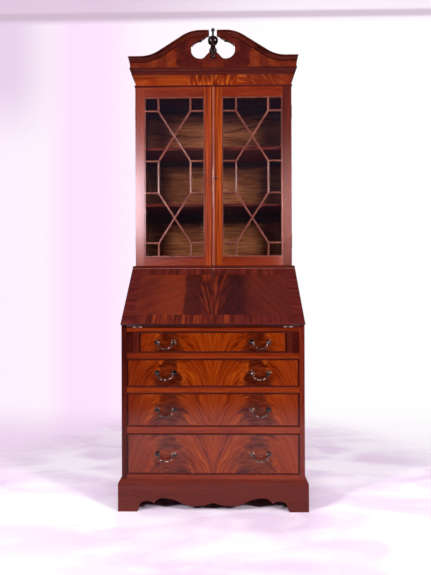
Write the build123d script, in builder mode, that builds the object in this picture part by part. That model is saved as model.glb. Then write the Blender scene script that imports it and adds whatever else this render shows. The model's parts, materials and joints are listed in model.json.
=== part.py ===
from build123d import *
import os
from math import cos, radians, sin

os.makedirs("parts", exist_ok=True)

# A slant-front secretary desk with a glazed bookcase on top and a swan-neck pediment.
# Millimetres. X runs across the front, -Y faces the user, +Z is up.
# The origin is on the floor, in the middle of the footprint.

# ---------------------------------------------------------------- driving dimensions

# Desk
DESK_HALF = 374  # half of the desk's outside width
DESK_DEPTH = 500
PULL_REACH = 21  # how far the drawer pulls stand in front of the desk
FRONT = PULL_REACH - (DESK_DEPTH + PULL_REACH) / 2  # Y of the desk's front plane
BACK = FRONT + DESK_DEPTH
SIDE_BOARD = 22
BAY_HALF = DESK_HALF - SIDE_BOARD  # half of the clear width between the side boards
BACK_BOARD = 10
BOARD = 20
DESK_TOP = 1000
PLINTH_TOP = 128
PLINTH_STEP = 13  # plinth in front of and beside the desk
PLINTH_BOARD = 20
RAIL_DEPTH = 55
BED_TOP = 750  # writing height

# Drawers, from the top: (bottom of the opening, top of the opening)
DRAWER_BAYS = {1: (643, 730), 2: (503, 619), 3: (341, 480), 4: (146, 314)}
TOP_DRAWER_HALF = 301  # half width of the top drawer's opening, between the loper posts
DRAWER_GAP = 2
DRAWER_FRONT = 20
DRAWER_BOX_DEPTH = 440
DRAWER_WALL = 10
COCKBEAD = 4
COCKBEAD_PROUD = 2.5

# Drawer pulls
PULL_CENTRE = 193
POST_SPREAD = 34.3  # from the middle of a pull to each of its posts
PIVOT_REACH = 16  # bail axis in front of the drawer
HEAD_RADIUS = PULL_REACH - PIVOT_REACH
ROSETTE_RADIUS = 11
POST_RADIUS = 3.2
PIN_RADIUS = 2
BAIL_RADIUS = 2.2

# Lopers, the slides that carry the open fall
LOPER_INNER = 328
LOPER_OUTER = 351
LOPER_LOW = 640.5
LOPER_HIGH = 729
LOPER_LENGTH = 440

# Fall: t runs up the slope from the hinge axis, n stands out of the inner face
SLOPE = 44
HINGE_AXIS_Y = FRONT - 3.4
FALL_LENGTH = 338
FALL_THICK = 20
FALL_REBATE = 12  # this much of the thickness goes between the side boards
FALL_TAIL = 2.4  # the fall's lower edge, past the hinge axis
FALL_KEYHOLE = 293

# Hinges and locks
KNUCKLE = 3
HINGE_PIN = 1.3
LEAF = 1.5
LEAF_REACH = 18
HINGE_FIT = 0.3
FALL_HINGE_X = 306
FALL_HINGE_LENGTH = 36
DOOR_HINGE_LENGTH = 64
DOOR_HINGES_Z = (1090, 1696)
KEY_HOLE = 2.6

# Bookcase
CASE_HALF = 362
CASE_BOARD = 18
CASE_INNER = CASE_HALF - CASE_BOARD
DOOR_FRONT = FRONT + 240
DOOR_THICK = 20
CASE_FRONT = DOOR_FRONT + DOOR_THICK + 1
FRIEZE_FRONT = DOOR_FRONT + 3
FRIEZE_LOW = 1840
CASE_TOP = 1866
CROWN_TOP = 1922
CROWN_REACH = 23  # from the frieze out to the crown's top edge
SHELVES_Z = (1297, 1561)
SHELF = 13
WAIST = 10  # height of the waist moulding

# Doors
DOOR_LOW = 1011
DOOR_HIGH = 1839
LEFT_DOOR_EDGE = -7
RIGHT_DOOR_EDGE = -5
ASTRAGAL = 10
GLASS_INNER = 40
GLASS_OUTER = 321
GLASS_LOW = 1051
GLASS_HIGH = 1794
GLASS_REBATE = 6
PANE = 3
PANE_BEAD = 5.5  # width of the bead round a pane
PANE_FRONT = DOOR_FRONT + 9
BAR_INSET = 66
BAR_LEVELS = (1116, 1349, 1497, 1730)
BAR_WIDTH = 9
BAR_DEPTH = 7
DOOR_KEY_X = 12
DOOR_KEY_Z = 1417
DOOR_HINGE_X = CASE_HALF + 1.5
DOOR_HINGE_Y = DOOR_FRONT + DOOR_THICK + 0.5

# Pediment
PEDIMENT_FRONT = DOOR_FRONT - 4
PEDIMENT_BOARD = 16
PEDIMENT_BACK = PEDIMENT_FRONT + PEDIMENT_BOARD
PEDIMENT_END = 392
PEDIMENT_END_TOP = 1974
SCROLL_TOP = 2091
SCROLL_TIP = 18
SCROLL_RADIUS = 160
TOTAL_HEIGHT = 2113

# Gallery of pigeonholes on the writing bed
GALLERY_FRONT = FRONT + 247
GALLERY_BACK = BACK - BACK_BOARD - 3
GALLERY_HALF = BAY_HALF - 2
GALLERY_BOARD = 6
GALLERY_LEVEL = 830
GALLERY_TOP = 979
GALLERY_DRAWER_HALF = 107
PIGEONHOLE_SPLIT = 228


# ---------------------------------------------------------------- helpers


def front_plane(y):
    """A plane across the desk at y: its own x and y are X and Z, and an extrusion comes forward."""
    return Plane.XZ.offset(-y)


def side_plane(x):
    """A plane front to back at x: its own x and y are Y and Z, and an extrusion goes to the right."""
    return Plane.YZ.offset(x)


def slope_point(t, n):
    """Y and Z of a point t up the closed fall and n out from its inner face."""
    y = HINGE_AXIS_Y + t * cos(radians(SLOPE)) - n * sin(radians(SLOPE))
    z = BED_TOP + t * sin(radians(SLOPE)) + n * cos(radians(SLOPE))
    return y, z


def slope_crossing(t, z):
    """Y where the line square to the slope at t reaches the height z."""
    n = (z - slope_point(t, 0)[1]) / cos(radians(SLOPE))
    return slope_point(t, n)[0]


FALL_OUT = (0, -sin(radians(SLOPE)), cos(radians(SLOPE)))
FALL_UP = (0, cos(radians(SLOPE)), sin(radians(SLOPE)))
FALL_PLANE = Plane(origin=(0, HINGE_AXIS_Y, BED_TOP), x_dir=(1, 0, 0), z_dir=FALL_OUT)


def board(x, y, z, mode=Mode.ADD):
    """A square-edged board in the part being built, from its low and high x, y and z."""
    with Locations((sum(x) / 2, sum(y) / 2, sum(z) / 2)):
        Box(x[1] - x[0], y[1] - y[0], z[1] - z[0], mode=mode)


def arc_run(points):
    """Draw edges from point to point; a point's third number bows the edge that ends there."""
    for start, end in zip(points, points[1:]):
        if len(end) == 3:
            SagittaArc(start[:2], end[:2], end[2])
        else:
            Line(start[:2], end[:2])


def edge_line(profile, base=0, side=1):
    """Draw a profile of (projection, height) points; a third number bows that edge outward."""
    arc_run([(base + side * out, height, *(-side * b for b in bow)) for out, height, *bow in profile])


def surround(profile, half_width, front, inner_half, inner_front):
    """A moulding round the front and both sides, mitred at its corners and open at the back."""
    low, high = profile[0][1], profile[-1][1]
    with BuildPart() as run:
        with BuildSketch(front_plane(BACK)):
            with BuildLine():
                edge_line(profile, half_width, 1)
                Line((half_width + profile[-1][0], high), (0, high))
                Line((0, low), (half_width + profile[0][0], low))
                mirror(about=Plane.YZ)
            make_face()
        extrude(amount=DESK_DEPTH + 2 * DESK_HALF)
        with BuildSketch(side_plane(-DESK_DEPTH)):
            with BuildLine():
                edge_line(profile, front, -1)
                Polyline(
                    (front - profile[-1][0], high),
                    (BACK, high),
                    (BACK, low),
                    (front - profile[0][0], low),
                )
            make_face()
        extrude(amount=2 * DESK_DEPTH, mode=Mode.INTERSECT)
        board((-inner_half, inner_half), (inner_front, BACK + 1), (low - 1, high + 1), Mode.SUBTRACT)
    return run.part


def save(name, *pieces):
    """Label one node and write it. Pieces that only touch stay separate solids in it."""
    node = pieces[0] if len(pieces) == 1 else Compound(children=list(pieces))
    node.label = name
    export_step(node, f"parts/{name}.step")


def hinge_half(axis_plane, length, low, knuckles, with_pin):
    """One half of a butt hinge. axis_plane starts at one end of the axis, and its x runs along the leaf."""
    with BuildPart() as half:
        with BuildSketch(axis_plane):
            with Locations(((KNUCKLE + HINGE_FIT + LEAF_REACH) / 2, low + LEAF / 2)):
                Rectangle(LEAF_REACH - KNUCKLE - HINGE_FIT, LEAF)
        extrude(amount=length)
        for start, stop in knuckles:
            with BuildSketch(axis_plane.offset(start)):
                Circle(KNUCKLE)
                with Locations(((KNUCKLE + 1) / 2, low + LEAF / 2)):
                    Rectangle(KNUCKLE + 1, LEAF)
                if not with_pin:
                    Circle(HINGE_PIN + 0.2, mode=Mode.SUBTRACT)
            extrude(amount=stop - start)
        if with_pin:
            with BuildSketch(axis_plane):
                Circle(HINGE_PIN)
            extrude(amount=length)
    return half.part


def hinge_pocket(axis_plane, length, low):
    """Cut the bed of one hinge half out of the part being built."""
    with BuildSketch(axis_plane) as bed:
        with Locations((LEAF_REACH / 2, low + LEAF / 2)):
            Rectangle(LEAF_REACH, LEAF)
        Circle(KNUCKLE + HINGE_FIT)
    extrude(bed.sketch, amount=length, mode=Mode.SUBTRACT)


def split_knuckles(length, count, first):
    """Every second knuckle of count along a hinge, from the first, with a little end play."""
    step = length / count
    return [(i * step + 0.1, (i + 1) * step - 0.1) for i in range(first, count, 2)]


# Locks. Each is placed on a plane at its keyhole in the outer face: x is the way the bolt shoots,
# and z is outward.
LOCK_FRONT = -10
LOCK_BACK = -20
LOCK_TAIL = 18
LOCK_LOW = -14
LOCK_HIGH = 20
BOLT_LOW = 9
BOLT_HIGH = 17
BOLT_LENGTH = 26
BOLT_THROW = 7
BOLT_FRONT = -13
BOLT_BACK = -17
BIT_SWING = 8
LOCK_FIT = 0.3


def block_on(plane, x, y, z, mode=Mode.ADD):
    """A block in the part being built, from its low and high places on a plane of its own."""
    with BuildSketch(plane.offset(z[0])) as base:
        with Locations(((x[0] + x[1]) / 2, (y[0] + y[1]) / 2)):
            Rectangle(x[1] - x[0], y[1] - y[0])
    extrude(base.sketch, amount=z[1] - z[0], mode=mode)


def rod_on(plane, radius, z, mode=Mode.ADD):
    """A round rod in the part being built, along a plane's z."""
    with BuildSketch(plane.offset(z[0])) as end:
        Circle(radius)
    extrude(end.sketch, amount=z[1] - z[0], mode=mode)


def lock_pocket(plane, edge):
    """Cut the bed of a lock and its keyhole out of the part being built."""
    block_on(plane, (-LOCK_TAIL, edge), (LOCK_LOW, LOCK_HIGH), (LOCK_BACK, LOCK_FRONT), Mode.SUBTRACT)
    rod_on(plane, KEY_HOLE, (LOCK_FRONT, 0), Mode.SUBTRACT)


def striker_pocket(plane, edge):
    """Cut the mortise that the bolt shoots into, beyond the lock's edge."""
    block_on(
        plane,
        (edge, edge + BOLT_THROW + 2),
        (BOLT_LOW - 1, BOLT_HIGH + 1),
        (BOLT_BACK - 0.5, BOLT_FRONT + 0.5),
        Mode.SUBTRACT,
    )


def lock_case(plane, edge):
    """A lock's case, with the chamber that the bit turns in and the channel of its bolt."""
    with BuildPart() as case:
        block_on(plane, (-LOCK_TAIL, edge), (LOCK_LOW, LOCK_HIGH), (LOCK_BACK, LOCK_FRONT))
        rod_on(plane, BIT_SWING, (LOCK_BACK + 2, LOCK_FRONT - 2), Mode.SUBTRACT)
        rod_on(plane, KEY_HOLE, (LOCK_FRONT - 3, LOCK_FRONT), Mode.SUBTRACT)
        block_on(
            plane,
            (edge - BOLT_LENGTH - 2, edge),
            (BOLT_LOW - LOCK_FIT, BOLT_HIGH + LOCK_FIT),
            (BOLT_BACK - LOCK_FIT, BOLT_FRONT + LOCK_FIT),
            Mode.SUBTRACT,
        )
    return case.part


def escutcheon(plane):
    """A keyhole ring, let into the outer face and a little proud of it."""
    with BuildPart() as ring:
        rod_on(plane, 6, (0, 1))
        chamfer(ring.faces().sort_by(Axis(plane.origin, plane.z_dir))[-1].edges(), 0.5)
        rod_on(plane, KEY_HOLE, (-1, 2), Mode.SUBTRACT)
    return ring.part


def lock_bolt(plane, edge):
    """The bolt, drawn back, a little inside the edge that it shoots from."""
    with BuildPart() as bolt:
        block_on(
            plane,
            (edge - BOLT_LENGTH - 0.5, edge - 0.5),
            (BOLT_LOW, BOLT_HIGH),
            (BOLT_BACK, BOLT_FRONT),
        )
    return bolt.part


def lock_key(plane):
    """A key in its lock: the bit points along the plane's y, and so does the height of the oval bow."""
    bow_centre = 31
    with BuildPart() as key:
        rod_on(plane, PIN_RADIUS, (LOCK_BACK + 3, bow_centre - 7))
        block_on(plane, (-1, 1), (0, BIT_SWING - 1), (LOCK_BACK + 3, LOCK_FRONT - 3))
        rod_on(plane, 3, (18, 20.5))
        bow_plane = Plane(
            origin=plane.origin + plane.z_dir * bow_centre - plane.x_dir * 1.25,
            x_dir=plane.y_dir,
            z_dir=plane.x_dir,
        )
        with BuildSketch(bow_plane) as bow:
            Ellipse(10, 8.5)
            Ellipse(6.8, 5.3, mode=Mode.SUBTRACT)
        extrude(bow.sketch, amount=2.5)
    return key.part


# ---------------------------------------------------------------- plinth

PLINTH_PROFILE = [
    (PLINTH_STEP, 0),
    (PLINTH_STEP, 112),
    (PLINTH_STEP - 1.5, 113.5),
    (7, 121, 1.8),
    (7, 123),
    (2, 128, -1.2),
]
plinth_ring = surround(
    PLINTH_PROFILE,
    DESK_HALF,
    FRONT,
    DESK_HALF + PLINTH_STEP - PLINTH_BOARD,
    FRONT - PLINTH_STEP + PLINTH_BOARD,
)
plinth_corner = (DESK_HALF + PLINTH_STEP, FRONT - PLINTH_STEP)
MITRES = [
    Plane(origin=(side * plinth_corner[0], plinth_corner[1], 0), x_dir=(0, 0, 1), z_dir=(-side, -1, 0))
    for side in (-1, 1)
]

# Right half of the shaped lower edge of the front: (x, height, bow), from the middle notch to the foot.
APRON = [
    (0, 37),
    (64, 23, -2.7),
    (130, 36, -4),
    (213, 55, 6.5),
    (240, 33, 3.5),
    (262, 43, 2),
    (298, 31, 5),
    (310, 0, -2),
]

with BuildPart() as plinth_front:
    add(plinth_ring)
    for mitre in MITRES:
        split(bisect_by=mitre, keep=Keep.TOP)
    with BuildSketch(front_plane(FRONT + 2 * PLINTH_BOARD)):
        with BuildLine():
            arc_run(APRON)
            Line(APRON[-1][:2], (0, 0))
            mirror(about=Plane.YZ)
        make_face()
    extrude(amount=4 * PLINTH_BOARD, mode=Mode.SUBTRACT)
save("plinth_front", plinth_front.part)


FOOT_REACH = 92
SIDE_ARCH = 46


def plinth_side(side):
    """One side of the plinth, with a shallow arch between its two bracket feet."""
    with BuildPart() as piece:
        add(plinth_ring)
        split(bisect_by=MITRES[(side + 1) // 2], keep=Keep.BOTTOM)
        with BuildSketch(side_plane(-2 * DESK_HALF)):
            with BuildLine():
                front_foot = FRONT - PLINTH_STEP + FOOT_REACH
                back_foot = BACK - FOOT_REACH
                Line((front_foot, 0), (front_foot + 8, 22))
                SagittaArc((front_foot + 8, 22), (front_foot + 52, SIDE_ARCH), 8)
                Line((front_foot + 52, SIDE_ARCH), (back_foot - 52, SIDE_ARCH))
                SagittaArc((back_foot - 52, SIDE_ARCH), (back_foot - 8, 22), 8)
                Polyline((back_foot - 8, 22), (back_foot, 0), (front_foot, 0))
            make_face()
        extrude(amount=4 * DESK_HALF, mode=Mode.SUBTRACT)
    return piece.part


save("plinth_sides", plinth_side(-1), plinth_side(1))

PLINTH_INNER = DESK_HALF + PLINTH_STEP - PLINTH_BOARD
with BuildPart() as plinth_back:
    board((-PLINTH_INNER, PLINTH_INNER), (BACK - 18, BACK), (34, PLINTH_TOP))
BLOCK = 34


def glue_block(side, y, reach):
    """A three-cornered block that backs a foot, from the corner at y towards y + reach."""
    corner = side * PLINTH_INNER
    with BuildPart() as block:
        with BuildSketch(Plane.XY):
            with BuildLine():
                Polyline((corner, y), (corner - side * BLOCK, y), (corner, y + reach), close=True)
            make_face()
        extrude(amount=PLINTH_TOP)
    return block.part


glue_blocks = [
    glue_block(side, y, reach)
    for side in (-1, 1)
    for y, reach in ((FRONT - PLINTH_STEP + PLINTH_BOARD, BLOCK), (BACK - 18, -BLOCK))
]
save("plinth_back_and_blocks", plinth_back.part, *glue_blocks)

# ---------------------------------------------------------------- desk carcase


def desk_side(side):
    """A desk side board: upright in front up to the writing height, then sloping back under the fall."""
    edge_n = FALL_REBATE - 0.5
    foot_t = (FRONT - slope_point(0, edge_n)[0]) / cos(radians(SLOPE))
    head_t = (DESK_TOP - slope_point(0, edge_n)[1]) / sin(radians(SLOPE))
    inner = side * BAY_HALF
    with BuildPart() as piece:
        with BuildSketch(side_plane(min(inner, side * DESK_HALF))):
            with BuildLine():
                Polyline(
                    (FRONT, PLINTH_TOP),
                    slope_point(foot_t, edge_n),
                    slope_point(head_t, edge_n),
                    (BACK, DESK_TOP),
                    (BACK, PLINTH_TOP),
                    close=True,
                )
            make_face()
        extrude(amount=SIDE_BOARD)
        front_edges = piece.edges().filter_by(Axis.Z).group_by(Axis.Y)[0]
        fillet(front_edges.sort_by(Axis.X)[0 if side < 0 else -1], 1.5)
    return piece.part


save("desk_sides", desk_side(-1), desk_side(1))

with BuildPart() as desk_bottom:
    board((-BAY_HALF, BAY_HALF), (FRONT + RAIL_DEPTH, BACK - BACK_BOARD), (PLINTH_TOP, DRAWER_BAYS[4][0]))
save("desk_bottom", desk_bottom.part)

with BuildPart() as desk_back:
    board((-BAY_HALF, BAY_HALF), (BACK - BACK_BOARD, BACK), (PLINTH_TOP, DESK_TOP))
save("desk_back", desk_back.part)

FALL_LOCK = Plane(
    origin=(0, *slope_point(FALL_KEYHOLE, FALL_THICK)),
    x_dir=FALL_UP,
    z_dir=FALL_OUT,
)
FALL_KEY = Plane(origin=FALL_LOCK.origin, x_dir=(1, 0, 0), z_dir=FALL_OUT)
FALL_LOCK_EDGE = FALL_LENGTH - FALL_KEYHOLE

with BuildPart() as desk_top:
    with BuildSketch(side_plane(-BAY_HALF)):
        with BuildLine():
            Polyline(
                (slope_crossing(FALL_LENGTH + 1, DESK_TOP), DESK_TOP),
                (BACK - BACK_BOARD, DESK_TOP),
                (BACK - BACK_BOARD, DESK_TOP - BOARD),
                (slope_crossing(FALL_LENGTH + 1, DESK_TOP - BOARD), DESK_TOP - BOARD),
                close=True,
            )
        make_face()
    extrude(amount=2 * BAY_HALF)
    striker_pocket(FALL_LOCK, FALL_LOCK_EDGE)
save("desk_top", desk_top.part)

FALL_HINGES = [
    Plane(origin=(x - FALL_HINGE_LENGTH / 2, HINGE_AXIS_Y, BED_TOP), x_dir=(0, 1, 0), z_dir=(1, 0, 0))
    for x in (-FALL_HINGE_X, FALL_HINGE_X)
]

with BuildPart() as writing_bed:
    board((-BAY_HALF, BAY_HALF), (FRONT, BACK - BACK_BOARD), (BED_TOP - BOARD, BED_TOP))
    for hinge in FALL_HINGES:
        hinge_pocket(hinge, FALL_HINGE_LENGTH, -LEAF)
save("writing_bed", writing_bed.part)

POST = (TOP_DRAWER_HALF, LOPER_INNER - 1)  # the upright between the top drawer and a loper
LOPER_SLOT = (LOPER_INNER - 1, BAY_HALF)
with BuildPart() as front_rails:
    board((-BAY_HALF, BAY_HALF), (FRONT, FRONT + RAIL_DEPTH), (PLINTH_TOP, DRAWER_BAYS[4][0]))
    for lower, upper in ((4, 3), (3, 2), (2, 1)):
        board(
            (-BAY_HALF, BAY_HALF),
            (FRONT, FRONT + RAIL_DEPTH),
            (DRAWER_BAYS[lower][1], DRAWER_BAYS[upper][0]),
        )
    for side in (-1, 1):
        slot = sorted(side * x for x in LOPER_SLOT)
        board(slot, (FRONT, FRONT + RAIL_DEPTH), (LOPER_LOW - 0.5, DRAWER_BAYS[1][0]), Mode.SUBTRACT)


def loper_post(side):
    """The short upright beside the top drawer."""
    with BuildPart() as post:
        board(sorted(side * x for x in POST), (FRONT, FRONT + RAIL_DEPTH), DRAWER_BAYS[1])
    return post.part


save("front_frame", front_rails.part, loper_post(-1), loper_post(1))

RUNNER = 20
RUNNER_THICK = 18
RUNNER_Y = (FRONT + RAIL_DEPTH, BACK - BACK_BOARD)
with BuildPart() as loper_bed:
    board((-BAY_HALF, BAY_HALF), RUNNER_Y, (LOPER_LOW - 13, LOPER_LOW - 0.5))
    for side in (-1, 1):
        board(sorted(side * x for x in POST), RUNNER_Y, (LOPER_LOW - 1, BED_TOP - BOARD))
        strip = sorted(side * x for x in (TOP_DRAWER_HALF - RUNNER, TOP_DRAWER_HALF))
        board(strip, RUNNER_Y, (LOPER_LOW - 1, DRAWER_BAYS[1][0]))


def runner(side, top):
    """A strip on a desk side that a wide drawer slides on."""
    with BuildPart() as strip:
        board(sorted(side * x for x in (BAY_HALF - RUNNER, BAY_HALF)), RUNNER_Y, (top - RUNNER_THICK, top))
    return strip.part


runners = [runner(side, DRAWER_BAYS[number][0]) for side in (-1, 1) for number in (2, 3)]
save("drawer_runners", loper_bed.part, *runners)

WAIST_PROFILE = [
    (12, DESK_TOP),
    (12, DESK_TOP + 3.5),
    (6, DESK_TOP + WAIST - 0.5, 1.4),
    (6, DESK_TOP + WAIST),
]
waist_moulding = surround(WAIST_PROFILE, CASE_HALF, DOOR_FRONT, CASE_HALF, CASE_FRONT)
save("waist_moulding", waist_moulding)

# ---------------------------------------------------------------- lopers


def loper(name, side):
    """A slide with a lipped front that comes out to carry the open fall."""
    with BuildPart() as slide:
        x = sorted(side * x for x in (LOPER_INNER, LOPER_OUTER))
        board(x, (FRONT, FRONT + LOPER_LENGTH), (LOPER_LOW, LOPER_HIGH))
        chamfer(slide.faces().sort_by(Axis.Y)[0].edges(), 1)
    save(name, slide.part)


loper("loper_left", -1)
loper("loper_right", 1)

# ---------------------------------------------------------------- fall

with BuildPart() as fall_panel:
    block_on(FALL_PLANE, (2 - BAY_HALF, BAY_HALF - 2), (-FALL_TAIL, FALL_LENGTH), (0, FALL_REBATE))
    block_on(FALL_PLANE, (-DESK_HALF, DESK_HALF), (-FALL_TAIL, FALL_LENGTH), (FALL_REBATE, FALL_THICK))
    fillet(fall_panel.faces().sort_by(Axis(FALL_PLANE.origin, FALL_OUT))[-1].edges(), 3)
    for hinge in FALL_HINGES:
        leaf_plane = Plane(origin=hinge.origin, x_dir=FALL_UP, z_dir=(1, 0, 0))
        hinge_pocket(leaf_plane, FALL_HINGE_LENGTH, 0)
    lock_pocket(FALL_LOCK, FALL_LOCK_EDGE)
save("fall_panel", fall_panel.part)

fall_leaves = []
bed_leaves = []
for hinge in FALL_HINGES:
    leaf_plane = Plane(origin=hinge.origin, x_dir=FALL_UP, z_dir=(1, 0, 0))
    moving = split_knuckles(FALL_HINGE_LENGTH, 3, 1)
    fixed = split_knuckles(FALL_HINGE_LENGTH, 3, 0)
    fall_leaves.append(hinge_half(leaf_plane, FALL_HINGE_LENGTH, 0, moving, with_pin=False))
    bed_leaves.append(hinge_half(hinge, FALL_HINGE_LENGTH, -LEAF, fixed, with_pin=True))
save("fall_hardware", *fall_leaves, lock_case(FALL_LOCK, FALL_LOCK_EDGE), escutcheon(FALL_LOCK))
save("fall_hinge_fixed_leaves", *bed_leaves)
save("fall_bolt", lock_bolt(FALL_LOCK, FALL_LOCK_EDGE))
save("fall_key", lock_key(FALL_KEY))

# ---------------------------------------------------------------- drawers


def pull_post(x, z):
    """A turned post with its rosette, a ball head bored for the bail, and a nut inside the drawer."""
    shank_end = DRAWER_FRONT + 6
    neck = (HEAD_RADIUS**2 - POST_RADIUS**2) ** 0.5
    collar = ROSETTE_RADIUS - 5
    with BuildPart() as post:
        with BuildSketch(Plane(origin=(x, FRONT, z), x_dir=(1, 0, 0), z_dir=(0, 0, 1))):
            with BuildLine():
                Polyline(
                    (0, shank_end),
                    (PIN_RADIUS, shank_end),
                    (PIN_RADIUS, 0),
                    (ROSETTE_RADIUS, 0),
                    (ROSETTE_RADIUS, -1.2),
                    (ROSETTE_RADIUS - 0.8, -2),
                    (collar, -2),
                    (collar, -3.5),
                    (POST_RADIUS, -3.5),
                    (POST_RADIUS, neck - PIVOT_REACH),
                )
                ThreePointArc(
                    (POST_RADIUS, neck - PIVOT_REACH),
                    (HEAD_RADIUS, -PIVOT_REACH),
                    (0, -PULL_REACH),
                )
                Line((0, -PULL_REACH), (0, shank_end))
            make_face()
        revolve(axis=Axis((x, FRONT, z), (0, 1, 0)))
        with BuildSketch(front_plane(FRONT + DRAWER_FRONT + 3)):
            with Locations((x, z)):
                RegularPolygon(5, 6)
        extrude(amount=3)
        with Locations((x, FRONT - PIVOT_REACH, z)):
            Cylinder(PIN_RADIUS + 0.2, 3 * HEAD_RADIUS, rotation=(0, 90, 0), mode=Mode.SUBTRACT)
    return post.part


def drawer(number):
    """One long drawer: its front with a cockbead, its box, and two bail pulls."""
    low, high = DRAWER_BAYS[number]
    bay_half = TOP_DRAWER_HALF if number == 1 else BAY_HALF
    half = bay_half - DRAWER_GAP
    z = (low + DRAWER_GAP, high - DRAWER_GAP)
    middle = (z[0] + z[1]) / 2
    posts = [side * PULL_CENTRE + end * POST_SPREAD for side in (-1, 1) for end in (-1, 1)]

    with BuildPart() as panel:
        board((-half, half), (FRONT, FRONT + DRAWER_FRONT), z)
        with BuildSketch(front_plane(FRONT)):
            with Locations((0, middle)):
                Rectangle(2 * half, z[1] - z[0])
                Rectangle(2 * (half - COCKBEAD), z[1] - z[0] - 2 * COCKBEAD, mode=Mode.SUBTRACT)
        extrude(amount=COCKBEAD_PROUD)
        fillet(panel.faces().sort_by(Axis.Y)[0].edges(), 1.4)
        with BuildSketch(front_plane(FRONT + DRAWER_FRONT)):
            with Locations([(x, middle) for x in posts]):
                Circle(PIN_RADIUS + 0.2)
        extrude(amount=DRAWER_FRONT, mode=Mode.SUBTRACT)
    save(f"drawer_{number}_front", panel.part)

    back = FRONT + DRAWER_BOX_DEPTH
    top = z[1] - 8
    with BuildPart() as box:
        board((1 - half, half - 1), (FRONT + DRAWER_FRONT, back), (low + 0.5, top))
        board(
            (1 - half + DRAWER_WALL, half - 1 - DRAWER_WALL),
            (FRONT + DRAWER_FRONT - 1, back - DRAWER_WALL),
            (low + 8.5, top + 1),
            Mode.SUBTRACT,
        )
    save(f"drawer_{number}_box", box.part)

    save(f"drawer_{number}_pull_posts", *[pull_post(x, middle) for x in posts])

    for side, word in ((-1, "left"), (1, "right")):
        bail(f"drawer_{number}_bail_{word}", side * PULL_CENTRE, middle)


# Right half of a hanging bail: (x from its middle, height below its axis).
BAIL_BENDS = [(26.3, 0), (26, -8.5), (30, -14), (9, -26)]


def bail(name, x, z):
    """A hanging bail with a swollen grip each side of a middle knop, and a pin in each post."""
    hang = Plane(origin=(x, FRONT - PIVOT_REACH, z), x_dir=(1, 0, 0), z_dir=(0, -1, 0))
    bends = [(-u, v) for u, v in BAIL_BENDS] + BAIL_BENDS[::-1]
    with BuildPart() as handle:
        with BuildLine(hang) as path:
            FilletPolyline(*bends, radius=3)
        route = path.wires()[0]
        with BuildSketch(Plane(origin=route @ 0, z_dir=route % 0)):
            Circle(BAIL_RADIUS)
        sweep(path=route)
        for side in (-1, 1):
            pin_end = hang.from_local_coords((side * BAIL_BENDS[0][0], 0, 0))
            with Locations(pin_end):
                Sphere(BAIL_RADIUS + 0.2)
            with BuildSketch(Plane(origin=pin_end, z_dir=(side, 0, 0))):
                Circle(PIN_RADIUS)
            extrude(amount=POST_SPREAD - BAIL_BENDS[0][0] + 3)
            (u1, v1), (u2, v2) = BAIL_BENDS[2:]
            grip = Plane(
                origin=hang.from_local_coords((side * (u1 + u2) / 2, (v1 + v2) / 2, 0)),
                x_dir=(side * (u2 - u1), 0, v2 - v1),
                z_dir=(0, -1, 0),
            )
            with BuildSketch(grip):
                Ellipse(9.5, 3.5)
                with Locations((0, -5)):
                    Rectangle(30, 10, mode=Mode.SUBTRACT)
            revolve(axis=Axis(grip.origin, grip.x_dir))
        knop_centre = hang.from_local_coords((0, BAIL_BENDS[-1][1], 0))
        knop = Plane(origin=knop_centre, x_dir=(1, 0, 0), z_dir=(0, -1, 0))
        with BuildSketch(knop):
            with BuildLine():
                ThreePointArc((-4, 2.9), (0, 3.9), (4, 2.9))
                Polyline((4, 2.9), (4, 0), (-4, 0), (-4, 2.9))
            make_face()
        revolve(axis=Axis(knop.origin, knop.x_dir))
    save(name, handle.part)


for number in DRAWER_BAYS:
    drawer(number)

# ---------------------------------------------------------------- gallery

with BuildPart() as gallery_case:
    y = (GALLERY_FRONT, GALLERY_BACK)
    z = (BED_TOP, GALLERY_TOP)
    board((-GALLERY_HALF, GALLERY_HALF), y, z)
    lower = (BED_TOP + GALLERY_BOARD, GALLERY_LEVEL)
    upper = (GALLERY_LEVEL + GALLERY_BOARD, GALLERY_TOP - GALLERY_BOARD)
    cell_y = (GALLERY_FRONT - 1, GALLERY_BACK - GALLERY_BOARD)
    outer = GALLERY_HALF - GALLERY_BOARD
    drawer_side = GALLERY_DRAWER_HALF + GALLERY_BOARD
    split_side = PIGEONHOLE_SPLIT + GALLERY_BOARD
    for cell_z in (lower, upper):
        board((-GALLERY_DRAWER_HALF, GALLERY_DRAWER_HALF), cell_y, cell_z, Mode.SUBTRACT)
    for side in (-1, 1):
        board(sorted((side * drawer_side, side * outer)), cell_y, lower, Mode.SUBTRACT)
        board(sorted((side * drawer_side, side * PIGEONHOLE_SPLIT)), cell_y, upper, Mode.SUBTRACT)
        board(sorted((side * split_side, side * outer)), cell_y, upper, Mode.SUBTRACT)
save("gallery_case", gallery_case.part)

GALLERY_DRAWER_DEPTH = 200
gallery_half = GALLERY_DRAWER_HALF - 1
gallery_z = (BED_TOP + GALLERY_BOARD + 0.5, GALLERY_LEVEL - 1)
with BuildPart() as gallery_front:
    board((-gallery_half, gallery_half), (GALLERY_FRONT, GALLERY_FRONT + 10), gallery_z)
with BuildPart() as gallery_box:
    y = (GALLERY_FRONT + 10, GALLERY_FRONT + GALLERY_DRAWER_DEPTH)
    board((-gallery_half, gallery_half), y, (gallery_z[0], gallery_z[1] - 4))
    inside = (6 - gallery_half, gallery_half - 6)
    board(inside, (y[0] - 1, y[1] - 6), (gallery_z[0] + 5, gallery_z[1]), Mode.SUBTRACT)
with BuildPart() as gallery_knob:
    knob_plane = Plane(origin=(0, GALLERY_FRONT, sum(gallery_z) / 2), x_dir=(1, 0, 0), z_dir=(0, -1, 0))
    rod_on(knob_plane, 3, (0, 8))
    with Locations(knob_plane.from_local_coords((0, 0, 11))):
        Sphere(6)
save("gallery_drawer", gallery_front.part, gallery_box.part, gallery_knob.part)

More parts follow.
